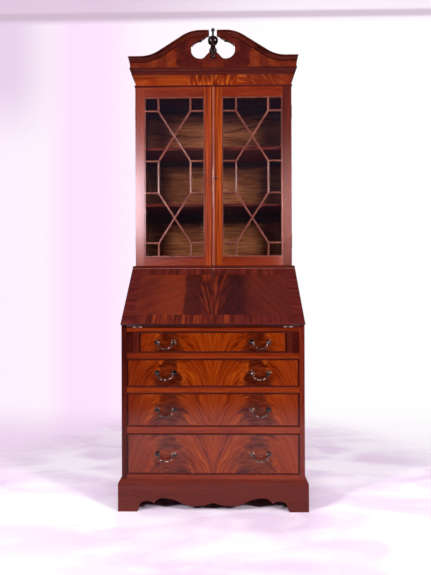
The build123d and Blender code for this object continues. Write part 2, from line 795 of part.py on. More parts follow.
# ---------------------------------------------------------------- bookcase

DOOR_HINGES = {
    side: [
        Plane(
            origin=(side * DOOR_HINGE_X, DOOR_HINGE_Y, z + (0 if side > 0 else DOOR_HINGE_LENGTH)),
            x_dir=(-side, 0, 0),
            z_dir=(0, 0, side),
        )
        for z in DOOR_HINGES_Z
    ]
    for side in (-1, 1)
}
CASE_LEAF = -LEAF - 0.5  # leaf let into the case, measured forward from the hinge axis
DOOR_LEAF = 0.5


def bookcase_side(side):
    """A bookcase side board, with the beds of its two hinge leaves in the front edge."""
    with BuildPart() as piece:
        board(sorted((side * CASE_INNER, side * CASE_HALF)), (CASE_FRONT, BACK), (DESK_TOP, CASE_TOP))
        for hinge in DOOR_HINGES[side]:
            hinge_pocket(hinge, DOOR_HINGE_LENGTH, CASE_LEAF)
    return piece.part


save("bookcase_sides", bookcase_side(-1), bookcase_side(1))

INSIDE_Y = (CASE_FRONT, BACK - BACK_BOARD)
with BuildPart() as bookcase_top_and_bottom:
    for z in (DESK_TOP, CASE_TOP - CASE_BOARD):
        board((-CASE_INNER, CASE_INNER), INSIDE_Y, (z, z + CASE_BOARD))
save("bookcase_top_and_bottom", bookcase_top_and_bottom.part)

with BuildPart() as bookcase_back:
    board((-CASE_INNER, CASE_INNER), (BACK - BACK_BOARD, BACK), (DESK_TOP, CASE_TOP))
save("bookcase_back", bookcase_back.part)

with BuildPart() as bookcase_shelves:
    for z in SHELVES_Z:
        board((-CASE_INNER, CASE_INNER), (CASE_FRONT + 7, INSIDE_Y[1]), (z - SHELF / 2, z + SHELF / 2))
    fillet(bookcase_shelves.edges().filter_by(Axis.X).group_by(Axis.Y)[0], 2)
save("bookcase_shelves", bookcase_shelves.part)

with BuildPart() as frieze:
    board((-CASE_HALF, CASE_HALF), (FRIEZE_FRONT, CASE_FRONT), (FRIEZE_LOW, CASE_TOP))
save("frieze", frieze.part)

FRIEZE_BEAD = [(0, FRIEZE_LOW), (0, FRIEZE_LOW + 9, 4)]
CROWN_PROFILE = [
    (0, CASE_TOP),
    (11, 1892, -3),
    (13.5, 1892),
    (13.5, 1900, 2),
    (11, 1900),
    (11, 1908),
    (20, 1917, 1.5),
    (CROWN_REACH, 1917),
    (CROWN_REACH, CROWN_TOP),
]
frieze_bead = surround(FRIEZE_BEAD, CASE_HALF, FRIEZE_FRONT, CASE_HALF, FRIEZE_FRONT)
crown = surround(CROWN_PROFILE, CASE_HALF, FRIEZE_FRONT, CASE_INNER, CASE_FRONT)
save("bookcase_mouldings", frieze_bead, crown)

# ---------------------------------------------------------------- pediment

END_PROFILE = [(CROWN_REACH, CROWN_TOP), (PEDIMENT_END - CASE_HALF, PEDIMENT_END_TOP, -1.5)]
HOLE_X = 62
HOLE_Z = 2009
HOLE_RADIUS = 40
FINIAL_SEAT = 1998


def scroll_line(drop, end):
    """Draw the swan-neck line from the end of the cornice up to the scroll's tip."""
    FilletPolyline(
        (end, PEDIMENT_END_TOP - drop),
        (288, PEDIMENT_END_TOP - drop),
        (103, SCROLL_TOP - drop),
        (SCROLL_TIP, SCROLL_TOP - drop),
        radius=SCROLL_RADIUS,
    )


# Right half of the scroll's lower edge and the hole beside the finial: (x, height, bow).
SCROLL_EDGE = [
    (SCROLL_TIP, SCROLL_TOP - 14),
    (38, 2066, 2.5),
    (54, 2053, 2),
    (78, 2047, 2),
]
CAP = 4

# Section of the raking moulding: (in front of the board, below the scroll line, bow).
RAKING = [
    (-PEDIMENT_BOARD, 0),
    (18, 0),
    (18, -4),
    (16, -5),
    (6, -14, -2.2),
    (6, -16),
    (5, -16),
    (5, -19, 1),
    (2.5, -19),
    (2.5, -22),
    (0, -22),
    (0, -CAP),
    (-PEDIMENT_BOARD, -CAP),
]


def raking_moulding(side):
    """The swan-neck moulding of one side, swept up the scroll line and cut to the cornice's flare."""
    with BuildPart() as run:
        with BuildLine(front_plane(PEDIMENT_FRONT)) as path:
            scroll_line(0, PEDIMENT_END + 6)
        route = path.wires()[0]
        with BuildSketch(Plane(origin=route @ 0, x_dir=(0, -1, 0), z_dir=(-1, 0, 0))):
            with BuildLine():
                arc_run([*RAKING, RAKING[0]])
            make_face()
        sweep(path=route)
        with BuildSketch(front_plane(BACK)):
            with BuildLine():
                edge_line(END_PROFILE, CASE_HALF, 1)
                Polyline(
                    (PEDIMENT_END, PEDIMENT_END_TOP),
                    (PEDIMENT_END, SCROLL_TOP + 10),
                    (0, SCROLL_TOP + 10),
                    (0, CROWN_TOP),
                    (CASE_HALF + CROWN_REACH, CROWN_TOP),
                )
            make_face()
        extrude(amount=2 * DESK_DEPTH, mode=Mode.INTERSECT)
        if side < 0:
            mirror(about=Plane.YZ, mode=Mode.REPLACE)
    return run.part


def cornice_return(side):
    """The end of the cornice carried back along the side of the bookcase."""
    with BuildPart() as run:
        with BuildSketch(front_plane(BACK)):
            with BuildLine():
                edge_line(END_PROFILE, CASE_HALF, 1)
                Polyline(
                    (PEDIMENT_END, PEDIMENT_END_TOP),
                    (CASE_INNER + 8, PEDIMENT_END_TOP),
                    (CASE_INNER + 8, CROWN_TOP),
                    (CASE_HALF + CROWN_REACH, CROWN_TOP),
                )
            make_face()
        extrude(amount=BACK - PEDIMENT_BACK)
        if side < 0:
            mirror(about=Plane.YZ, mode=Mode.REPLACE)
    return run.part


rakes = {side: raking_moulding(side) for side in (-1, 1)}
save("pediment_moulding", *rakes.values(), cornice_return(-1), cornice_return(1))

with BuildPart() as pediment_board:
    with BuildSketch(front_plane(PEDIMENT_BACK)):
        with BuildLine():
            scroll_line(CAP - 1, PEDIMENT_END - 1)
            Line((SCROLL_TIP, SCROLL_TOP - CAP + 1), SCROLL_EDGE[0])
            arc_run(SCROLL_EDGE)
            ThreePointArc(
                SCROLL_EDGE[-1][:2],
                (HOLE_X + HOLE_RADIUS, HOLE_Z),
                (HOLE_X, HOLE_Z - HOLE_RADIUS),
            )
            SagittaArc((HOLE_X, HOLE_Z - HOLE_RADIUS), (34, 1982), 5)
            Line((34, 1982), (SCROLL_TIP, FINIAL_SEAT))
            Line((SCROLL_TIP, FINIAL_SEAT), (0, FINIAL_SEAT))
            Line((0, CROWN_TOP), (CASE_HALF + CROWN_REACH, CROWN_TOP))
            SagittaArc((CASE_HALF + CROWN_REACH, CROWN_TOP), (PEDIMENT_END - 1, PEDIMENT_END_TOP - CAP + 1), 1.5)
            mirror(about=Plane.YZ)
        make_face()
    extrude(amount=PEDIMENT_BOARD)
    for side in (-1, 1):
        add(rakes[side], mode=Mode.SUBTRACT)
save("pediment_board", pediment_board.part)

# Outlines of the finial's two turned pieces: (radius, height, bow).
URN = [
    (15, FINIAL_SEAT),
    (17.5, 2007, 1),
    (17.5, 2014),
    (12, 2021, -1.5),
    (11.5, 2029),
    (15, 2037, -0.8),
    (22.5, 2048, 2),
    (23, 2058, 1),
    (19, 2068, 1.5),
    (9, 2072),
    (4.6, 2077, -1.5),
    (4.6, TOTAL_HEIGHT - 16.7),
]
KNOB_RADIUS = 9
PENDANT = [(0, 1967), (8, 1970, 1), (11, 1978, 1), (7, 1985, 0.8), (12, FINIAL_SEAT, -1.5)]

with BuildPart() as urn:
    turning = Plane(origin=(0, (PEDIMENT_FRONT + PEDIMENT_BACK) / 2, 0), x_dir=(1, 0, 0), z_dir=(0, -1, 0))
    with BuildSketch(turning):
        with BuildLine():
            edge_line(URN)
            Polyline(URN[-1], (0, URN[-1][1]), (0, FINIAL_SEAT), URN[0])
        make_face()
    revolve(axis=Axis(turning.origin, (0, 0, 1)))
    with Locations(turning.from_local_coords((0, TOTAL_HEIGHT - KNOB_RADIUS, 0))):
        Sphere(KNOB_RADIUS)
with BuildPart() as pendant:
    half_turning = Plane(origin=(0, PEDIMENT_FRONT, 0), x_dir=(1, 0, 0), z_dir=(0, -1, 0))
    with BuildSketch(half_turning):
        with BuildLine():
            edge_line(PENDANT)
            Polyline((PENDANT[-1][0], FINIAL_SEAT), (0, FINIAL_SEAT), PENDANT[0])
        make_face()
    revolve(axis=Axis(half_turning.origin, (0, 0, 1)))
    behind = (PEDIMENT_FRONT, PEDIMENT_FRONT + 20)
    board((-20, 20), behind, (PENDANT[0][1] - 5, FINIAL_SEAT + 5), Mode.SUBTRACT)
save("finial", urn.part, pendant.part)

# ---------------------------------------------------------------- doors

DOOR_LOCK = Plane(origin=(DOOR_KEY_X, DOOR_FRONT, DOOR_KEY_Z), x_dir=(-1, 0, 0), z_dir=(0, -1, 0))
DOOR_LOCK_EDGE = DOOR_KEY_X - RIGHT_DOOR_EDGE
DOOR_Y = (DOOR_FRONT, DOOR_FRONT + DOOR_THICK)


def frame_piece(side, x, z):
    """A stile or rail of a door, with the rebate that its pane lies in."""
    with BuildPart() as piece:
        board(x, DOOR_Y, z)
        pane = sorted((side * (GLASS_INNER - GLASS_REBATE), side * (GLASS_OUTER + GLASS_REBATE)))
        heights = (GLASS_LOW - GLASS_REBATE, GLASS_HIGH + GLASS_REBATE)
        board(pane, (PANE_FRONT, DOOR_Y[1] + 1), heights, Mode.SUBTRACT)
    return piece.part


def glazing_bar(start, end, y):
    """One rounded bar from start to end, each (x, z), its back at y."""
    run = Vector(end[0] - start[0], 0, end[1] - start[1])
    with BuildPart() as bar:
        with BuildSketch(Plane(origin=(start[0], y, start[1]), x_dir=(0, -1, 0), z_dir=run)):
            with BuildLine():
                Polyline((2, -BAR_WIDTH / 2), (0, -BAR_WIDTH / 2), (0, BAR_WIDTH / 2), (2, BAR_WIDTH / 2))
                ThreePointArc((2, BAR_WIDTH / 2), (BAR_DEPTH, 0), (2, -BAR_WIDTH / 2))
            make_face()
        extrude(amount=run.length)
    return bar.part


def glazing(side):
    """The lattice of bars in front of a pane, with the thin bead round the pane's edge."""
    inner, outer = side * GLASS_INNER, side * GLASS_OUTER
    near, far = side * (GLASS_INNER + BAR_INSET), side * (GLASS_OUTER - BAR_INSET)
    first, second, third, fourth = BAR_LEVELS
    runs = []
    for x in (near, far):
        runs.append(((x, GLASS_LOW), (x, first)))
        runs.append(((x, second), (x, third)))
        runs.append(((x, fourth), (x, GLASS_HIGH)))
    for z in BAR_LEVELS:
        runs.append(((inner, z), (near, z)))
        runs.append(((far, z), (outer, z)))
    for low, high in ((first, second), (third, fourth)):
        runs.append(((near, low), (far, high)))
        runs.append(((far, low), (near, high)))
    with BuildPart() as lattice:
        for start, end in runs:
            add(glazing_bar(start, end, PANE_FRONT))
        for x in (near, far):
            for z in BAR_LEVELS:
                with Locations((x, PANE_FRONT - 1.5, z)):
                    Cylinder(BAR_WIDTH / 2, 3, rotation=(90, 0, 0))
        with BuildSketch(front_plane(PANE_FRONT)):
            with Locations(((inner + outer) / 2, (GLASS_LOW + GLASS_HIGH) / 2)):
                Rectangle(abs(outer - inner), GLASS_HIGH - GLASS_LOW)
                Rectangle(
                    abs(outer - inner) - 2 * PANE_BEAD,
                    GLASS_HIGH - GLASS_LOW - 2 * PANE_BEAD,
                    mode=Mode.SUBTRACT,
                )
        extrude(amount=7)
        box = sorted((inner, outer))
        board((box[0] - 60, box[0]), (DOOR_Y[0] - 30, DOOR_Y[1]), (GLASS_LOW, GLASS_HIGH), Mode.SUBTRACT)
        board((box[1], box[1] + 60), (DOOR_Y[0] - 30, DOOR_Y[1]), (GLASS_LOW, GLASS_HIGH), Mode.SUBTRACT)
    return lattice.part


def retaining_bead(side):
    """The strip behind a pane that holds it in its rebate."""
    inner, outer = side * (GLASS_INNER - GLASS_REBATE), side * (GLASS_OUTER + GLASS_REBATE)
    heights = (GLASS_LOW - GLASS_REBATE, GLASS_HIGH + GLASS_REBATE)
    with BuildPart() as bead:
        with BuildSketch(front_plane(DOOR_Y[1] - 1)):
            with Locations(((inner + outer) / 2, sum(heights) / 2)):
                Rectangle(abs(outer - inner), heights[1] - heights[0])
                Rectangle(
                    abs(outer - inner) - 2 * GLASS_REBATE,
                    heights[1] - heights[0] - 2 * GLASS_REBATE,
                    mode=Mode.SUBTRACT,
                )
        extrude(amount=DOOR_Y[1] - 1 - PANE_FRONT - PANE)
    return bead.part


def door(word, side, edge):
    """A glazed door: stiles, rails, pane and glazing; edge is the x where it meets the other door."""
    hanging = frame_piece(side, sorted((side * GLASS_OUTER, side * CASE_HALF)), (DOOR_LOW, DOOR_HIGH))
    closing = frame_piece(side, sorted((edge, side * GLASS_INNER)), (DOOR_LOW, DOOR_HIGH))
    between = sorted((side * GLASS_INNER, side * GLASS_OUTER))
    bottom_rail = frame_piece(side, between, (DOOR_LOW, GLASS_LOW))
    top_rail = frame_piece(side, between, (GLASS_HIGH, DOOR_HIGH))

    with BuildPart() as hinge_stile:
        add(hanging)
        for hinge in DOOR_HINGES[side]:
            hinge_pocket(hinge, DOOR_HINGE_LENGTH, DOOR_LEAF)
    with BuildPart() as meeting_stile:
        add(closing)
        if side < 0:
            striker_pocket(DOOR_LOCK, DOOR_KEY_X - LEFT_DOOR_EDGE)
        else:
            lock_pocket(DOOR_LOCK, DOOR_LOCK_EDGE)
            with BuildSketch(Plane.XY.offset(DOOR_LOW)):
                with BuildLine():
                    Line((edge, DOOR_FRONT), (edge + ASTRAGAL, DOOR_FRONT))
                    SagittaArc((edge, DOOR_FRONT), (edge + ASTRAGAL, DOOR_FRONT), -4)
                make_face()
            extrude(amount=DOOR_HIGH - DOOR_LOW)
    save(f"{word}_door_frame", hinge_stile.part, meeting_stile.part, bottom_rail, top_rail)

    with BuildPart() as pane:
        x = sorted((side * (GLASS_INNER - GLASS_REBATE + 1), side * (GLASS_OUTER + GLASS_REBATE - 1)))
        heights = (GLASS_LOW - GLASS_REBATE + 1, GLASS_HIGH + GLASS_REBATE - 1)
        board(x, (PANE_FRONT, PANE_FRONT + PANE), heights)
    save(f"{word}_door_glass", pane.part)
    save(f"{word}_door_bars", glazing(side), retaining_bead(side))


door("left", -1, LEFT_DOOR_EDGE)
door("right", 1, RIGHT_DOOR_EDGE)

moving = split_knuckles(DOOR_HINGE_LENGTH, 5, 1)
fixed = split_knuckles(DOOR_HINGE_LENGTH, 5, 0)
door_leaves = {
    side: [
        hinge_half(hinge, DOOR_HINGE_LENGTH, DOOR_LEAF, moving, with_pin=False) for hinge in hinges
    ]
    for side, hinges in DOOR_HINGES.items()
}
case_leaves = [
    hinge_half(hinge, DOOR_HINGE_LENGTH, CASE_LEAF, fixed, with_pin=True)
    for hinges in DOOR_HINGES.values()
    for hinge in hinges
]
save("left_door_hinge_leaves", *door_leaves[-1])
save("right_door_hardware", *door_leaves[1], lock_case(DOOR_LOCK, DOOR_LOCK_EDGE), escutcheon(DOOR_LOCK))
save("door_hinge_case_leaves", *case_leaves)
save("door_bolt", lock_bolt(DOOR_LOCK, DOOR_LOCK_EDGE))
save("door_key", lock_key(DOOR_LOCK))
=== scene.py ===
"""Looks of the slant-front secretary desk: its woods, metals and glass, on a pale floor in studio light."""

import json
from math import radians

import bpy
from mathutils import Matrix, Vector


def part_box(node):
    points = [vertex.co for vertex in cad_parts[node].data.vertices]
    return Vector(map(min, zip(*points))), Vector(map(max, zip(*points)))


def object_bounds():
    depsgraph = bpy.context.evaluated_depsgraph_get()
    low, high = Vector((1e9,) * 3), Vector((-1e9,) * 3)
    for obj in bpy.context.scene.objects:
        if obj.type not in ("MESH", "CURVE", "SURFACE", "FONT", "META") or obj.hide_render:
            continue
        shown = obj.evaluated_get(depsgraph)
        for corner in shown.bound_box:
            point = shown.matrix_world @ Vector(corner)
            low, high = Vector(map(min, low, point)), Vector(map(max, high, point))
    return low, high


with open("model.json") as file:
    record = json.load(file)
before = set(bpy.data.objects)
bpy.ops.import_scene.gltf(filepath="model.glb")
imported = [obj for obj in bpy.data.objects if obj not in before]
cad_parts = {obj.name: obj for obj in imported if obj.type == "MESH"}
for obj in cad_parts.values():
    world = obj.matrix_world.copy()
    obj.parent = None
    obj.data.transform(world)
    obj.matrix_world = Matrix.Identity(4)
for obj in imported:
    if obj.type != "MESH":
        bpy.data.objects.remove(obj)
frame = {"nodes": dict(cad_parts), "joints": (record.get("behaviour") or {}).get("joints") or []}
cad_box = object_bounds()
nodes = frame["nodes"]
joints = {joint["name"]: joint for joint in frame["joints"]}

# ---------------------------------------------------------------- places, from the frame where it has them

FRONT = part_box("front_frame")[0].y
FALL_HINGE = Vector(joints["fall_drop"]["pos_m"])
FALL_UP = Vector(joints["fall_bolt_throw"]["axis"])
FALL_OUT = Vector((1, 0, 0)).cross(FALL_UP)
FALL_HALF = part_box("fall_panel")[1].x
FALL_TOP = 0.338  # length of the fall above its hinge
FALL_BORDER = 0.046  # width of the crossbanding around the fall
FALL_LINE = 0.0016  # width of the dark line inside that crossbanding

CASE_BOARD = 0.018  # thickness of the bookcase's top
SHELF_BOARD = 0.013
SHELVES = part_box("bookcase_shelves")
LOW_SHELF = SHELVES[0].z  # the undersides of the two shelves and of the bookcase's top
HIGH_SHELF = SHELVES[1].z - SHELF_BOARD
CASE_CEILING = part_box("bookcase_top_and_bottom")[1].z - CASE_BOARD
SHADE_GAP = 0.001  # a strip of painted shade starts this far below a shelf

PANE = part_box("right_door_glass")
PANE_LAP = 0.005  # how far a pane's edges go into its door frame
GLASS_X = (PANE[0].x + PANE_LAP, PANE[1].x - PANE_LAP)  # the part of a pane that shows, from the middle out
VENEER_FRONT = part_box("desk_sides")[0].y  # the drawers' veneer is level with the carcass edges
FRIEZE_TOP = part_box("frieze")[1].z
COVE_TOP = FRIEZE_TOP + 0.0258  # the veneered hollow of the cornice starts at the frieze and ends here
GALLERY_BOX = 0.012  # the gallery drawer's box lies behind this y
POSTS = (0.643, 0.73)  # foot and top of the short posts beside the top drawer
POST_INSIDE = 0.3  # the posts stand outside this distance from the middle
DRAWERS = (1, 2, 3, 4)


def srgb(red, green, blue):
    """A colour for a shader, from the usual 0 to 255 numbers."""
    linear = []
    for level in (red / 255, green / 255, blue / 255):
        linear.append(level / 12.92 if level <= 0.04045 else ((level + 0.055) / 1.055) ** 2.4)
    return (*linear, 1.0)


# ---------------------------------------------------------------- shader building


class Shade:
    """The shader of a material or a world in the making. Most methods add nodes and return an output."""

    def __init__(self, owner):
        owner.use_nodes = True
        self.owner = owner
        self.tree = owner.node_tree
        self.tree.nodes.clear()
        self.place = self.node("ShaderNodeTexCoord").outputs["Object"]

    def node(self, kind, inputs=(), **settings):
        """Add a node, set or link its inputs, and return the node itself."""
        made = self.tree.nodes.new(kind)
        for setting, value in settings.items():
            setattr(made, setting, value)
        for socket, value in dict(inputs).items():
            if isinstance(value, bpy.types.NodeSocket):
                self.tree.links.new(value, made.inputs[socket])
            else:
                made.inputs[socket].default_value = value
        return made

    def math(self, operation, *values):
        return self.node("ShaderNodeMath", enumerate(values), operation=operation).outputs[0]

    def split(self, vector):
        """The x, y and z of a vector."""
        return self.node("ShaderNodeSeparateXYZ", {0: vector}).outputs

    def join(self, x, y, z):
        return self.node("ShaderNodeCombineXYZ", {0: x, 1: y, 2: z}).outputs[0]

    def dot(self, vector, direction):
        inputs = {0: vector, 1: direction}
        return self.node("ShaderNodeVectorMath", inputs, operation="DOT_PRODUCT").outputs["Value"]

    def length(self, vector):
        return self.node("ShaderNodeVectorMath", {0: vector}, operation="LENGTH").outputs["Value"]

    def scaled(self, vector, scale, shift=(0, 0, 0)):
        inputs = {"Vector": vector, "Location": shift, "Scale": scale}
        return self.node("ShaderNodeMapping", inputs).outputs[0]

    def noise(self, vector, scale, detail, roughness=0.5, distortion=0.0):
        inputs = {
            "Vector": vector,
            "Scale": scale,
            "Detail": detail,
            "Roughness": roughness,
            "Distortion": distortion,
        }
        return self.node("ShaderNodeTexNoise", inputs).outputs[0]

    def span(self, value, low, high, start=0.0, end=1.0, kind="SMOOTHSTEP"):
        """The start value below low, the end value above high, and a slope between."""
        inputs = {0: value, 1: low, 2: high, 3: start, 4: end}
        return self.node("ShaderNodeMapRange", inputs, interpolation_type=kind, clamp=True).outputs[0]

    def band(self, value, low, high, soft):
        """1 between low and high, fading to 0 outside over a soft width."""
        rise = self.span(value, low - soft, low)
        fall = self.span(value, high, high + soft, 1.0, 0.0)
        return self.math("MULTIPLY", rise, fall)

    def ramp(self, factor, *stops):
        """Colours along a 0 to 1 factor, as (position, colour) stops."""
        made = self.node("ShaderNodeValToRGB", {0: factor})
        points = made.color_ramp.elements
        while len(points) < len(stops):
            points.new(1.0)
        for point, (position, colour) in zip(points, stops):
            point.position = position
            point.color = colour
        return made.outputs[0]

    def mix(self, factor, first, second):
        """A blend of two colours."""
        inputs = {0: factor, 6: first, 7: second}
        return self.node("ShaderNodeMix", inputs, data_type="RGBA", clamp_factor=True).outputs[2]

    def blend(self, factor, first, second):
        """A blend of two numbers."""
        return self.node("ShaderNodeMix", {0: factor, 2: first, 3: second}).outputs[0]

    def stray(self, value, noise, amount):
        """A value that a noise pushes up and down, so that an edge or a line wanders."""
        return self.math("MULTIPLY_ADD", self.math("SUBTRACT", noise, 0.5), amount, value)

    def bump(self, height, distance, strength):
        inputs = {"Height": height, "Distance": distance, "Strength": strength}
        return self.node("ShaderNodeBump", inputs).outputs[0]

    def surface(self, inputs):
        """Finish the material with a Principled shader."""
        shader = self.node("ShaderNodeBsdfPrincipled", inputs)
        self.node("ShaderNodeOutputMaterial", {"Surface": shader.outputs[0]})
        return self.owner


def new_shade(name):
    """The shader of a new material."""
    return Shade(bpy.data.materials.new(name))


def polished(shade, colour, fibres, rough=0.3, coat=0.45, film_rough=0.09):
    """French-polished wood: a clear film over open grain."""
    roughness = shade.span(fibres, 0.2, 0.8, rough - 0.05, rough + 0.08)
    worn_edge = shade.node("ShaderNodeBevel", {"Radius": 0.0012}, samples=4).outputs[0]
    open_grain = {"Height": fibres, "Distance": 0.0004, "Strength": 0.25, "Normal": worn_edge}
    grain = shade.node("ShaderNodeBump", open_grain)
    return shade.surface(
        {
            "Base Color": colour,
            "Roughness": roughness,
            "Specular IOR Level": 0.12,
            "Coat Weight": coat,
            "Coat Roughness": film_rough,
            "Coat IOR": 1.45,
            "Normal": grain.outputs[0],
            "Coat Normal": worn_edge,
        }
    )


# ---------------------------------------------------------------- plain woods

ALONG = {"x": (0.045, 1, 1), "y": (1, 0.045, 1), "z": (1, 1, 0.045)}


def fibres_along(shade, along, seed):
    """Broad streaks, fine fibres and short dark pores that all run along one axis."""
    stretched = shade.scaled(shade.place, ALONG[along], (seed * 1.7, seed * 2.3, seed * 0.9))
    broad = shade.noise(stretched, 26, 4, 0.55, 0.7)
    fine = shade.noise(stretched, 240, 3, 0.6)
    pores = shade.span(shade.noise(stretched, 900, 2), 0.62, 0.72)
    return broad, fine, pores


def plain_wood(name, along, seed, dark, middle, light, rough=0.3, coat=0.45, film_rough=0.09):
    """Straight-grained wood, its tones blending from dark to light across the grain."""
    shade = new_shade(name)
    broad, fine, pores = fibres_along(shade, along, seed)
    tone = shade.math("MULTIPLY_ADD", fine, 0.45, shade.math("MULTIPLY", broad, 0.55))
    colour = shade.ramp(tone, (0.34, dark), (0.5, middle), (0.66, light))
    drift = shade.noise(shade.place, 2.6, 2)
    colour = shade.mix(shade.span(drift, 0.35, 0.65, 0.0, 0.35), colour, middle)
    colour = shade.mix(shade.math("MULTIPLY", pores, 0.55), colour, dark)
    return polished(shade, colour, fine, rough, coat, film_rough)


MAHOGANY = {
    "dark": srgb(86, 22, 6),
    "middle": srgb(130, 43, 14),
    "light": srgb(158, 64, 24),
}
DEEP_MAHOGANY = {
    "dark": srgb(50, 12, 8),
    "middle": srgb(86, 26, 18),
    "light": srgb(116, 40, 24),
}
EDGE_MAHOGANY = {
    "dark": srgb(74, 20, 12),
    "middle": srgb(112, 36, 22),
    "light": srgb(140, 56, 32),
}
DARK_BEAD = {
    "dark": srgb(36, 8, 6),
    "middle": srgb(62, 15, 11),
    "light": srgb(88, 26, 18),
}
# darker than the plain mahogany: painted shade for the mouldings' hollows and undercuts
SHADED_MOULDING_MAHOGANY = {
    "dark": srgb(46, 10, 8),
    "middle": srgb(84, 26, 18),
    "light": srgb(112, 42, 28),
}
BAR_MAHOGANY = {
    "dark": srgb(92, 40, 32),
    "middle": srgb(128, 68, 56),
    "light": srgb(162, 100, 86),
}
PLINTH_MAHOGANY = {
    "dark": srgb(72, 20, 14),
    "middle": srgb(96, 33, 24),
    "light": srgb(112, 43, 30),
}
FINIAL_TONES = {
    "dark": srgb(14, 4, 4),
    "middle": srgb(28, 9, 7),
    "light": srgb(44, 15, 10),
}
SECONDARY = {
    "dark": srgb(104, 68, 40),
    "middle": srgb(146, 102, 64),
    "light": srgb(174, 130, 86),
}


def meeting_stiles():
    """Striped wood of the stiles where the doors meet, with a painted highlight on the astragal and painted
    shade in the quirks beside it.
    """
    shade = new_shade("meeting_stile_wood")
    x = shade.split(shade.place)[0]
    broad, fine, pores = fibres_along(shade, "z", 9)
    stripes = shade.noise(shade.scaled(shade.place, (1, 1, 0.02), (0.5, 0, 0)), 150, 2, 0.5)
    tone = shade.math("ADD", shade.math("MULTIPLY", broad, 0.35), shade.math("MULTIPLY", stripes, 0.65))
    left = shade.ramp(tone, (0.38, srgb(112, 34, 8)), (0.5, srgb(158, 58, 14)), (0.62, srgb(190, 86, 26)))
    right = shade.ramp(tone, (0.38, srgb(96, 28, 5)), (0.5, srgb(148, 56, 10)), (0.62, srgb(182, 82, 20)))
    colour = shade.mix(shade.span(x, -0.006, 0.006), left, right)
    # a pale pink band along the astragal: painted highlight
    astragal_highlight = shade.math("MULTIPLY", shade.band(x, -0.002, 0.005, 0.002), 0.45)
    colour = shade.mix(astragal_highlight, colour, srgb(176, 104, 92))
    # dark lines in the quirks beside the astragal: painted shade
    left_quirk_shade = shade.band(x, -0.009, -0.005, 0.002)
    right_quirk_shade = shade.math("MULTIPLY", shade.band(x, 0.01, 0.012, 0.002), 0.5)
    quirk_shade = shade.math("MAXIMUM", right_quirk_shade, left_quirk_shade)
    colour = shade.mix(shade.math("MULTIPLY", quirk_shade, 0.75), colour, srgb(44, 10, 6))
    colour = shade.mix(shade.math("MULTIPLY", pores, 0.5), colour, srgb(70, 18, 6))
    return polished(shade, colour, fine)


def back_panel():
    """The lighter boards behind the shelves: level grain, a crack each side, painted shade at sides and
    under shelves.
    """
    cracks = ((-1, 1.683, -0.09), (1, 1.7, 0.23))  # side of the case, height at its middle, slope
    shade_strips = ((LOW_SHELF - SHADE_GAP, 0.035), (HIGH_SHELF - SHADE_GAP, 0.004), (CASE_CEILING, 0.028))
    shade = new_shade("back_panel")
    x, _, z = shade.split(shade.place)
    fine = shade.noise(shade.scaled(shade.place, (0.05, 1, 1)), 230, 3, 0.6)
    broad = shade.noise(shade.scaled(shade.place, (0.3, 1, 1)), 16, 2, 0.5, 0.6)
    tone = shade.math("ADD", shade.math("MULTIPLY", broad, 0.4), shade.math("MULTIPLY", fine, 0.6))
    colour = shade.ramp(tone, (0.36, srgb(98, 48, 25)), (0.5, srgb(142, 78, 43)), (0.64, srgb(178, 110, 66)))
    for side, height, slope in cracks:
        wave = shade.noise(shade.join(x, side, 0.0), 7, 2)
        straight = shade.math("MULTIPLY_ADD", x, slope, height)
        line = shade.stray(straight, wave, 0.05)
        away = shade.math("ABSOLUTE", shade.math("SUBTRACT", z, line))
        on_its_side = shade.span(shade.math("MULTIPLY", x, side), 0, 0.01)
        near = shade.math("MULTIPLY", shade.span(away, 0.0012, 0.0045, 0.85, 0.0), on_its_side)
        colour = shade.mix(near, colour, srgb(44, 18, 12))
    # painted shade: darker towards both sides of the back, and in a strip below each shelf and below the top
    painted_shade = shade.span(shade.math("ABSOLUTE", x), 0.19, 0.29, 0.0, 0.75)
    for top, depth in shade_strips:
        painted_shade = shade.math("MAXIMUM", painted_shade, shade.band(z, top - depth, top, 0.036))
    colour = shade.mix(shade.math("MULTIPLY", painted_shade, 0.85), colour, srgb(24, 9, 8))
    return polished(shade, colour, fine, 0.45, 0.1)


# ---------------------------------------------------------------- figured veneers


def flame_tones(shade, stripes):
    """The bright wood between a drawer's plumes, and the deep wood of the plumes."""
    bright = shade.ramp(
        stripes,
        (0.36, srgb(84, 20, 2)),
        (0.44, srgb(126, 41, 3)),
        (0.56, srgb(140, 50, 5)),
        (0.68, srgb(172, 76, 12)),
    )
    deep = shade.ramp(
        stripes,
        (0.36, srgb(54, 13, 3)),
        (0.5, srgb(80, 23, 6)),
        (0.64, srgb(108, 37, 10)),
    )
    return bright, deep


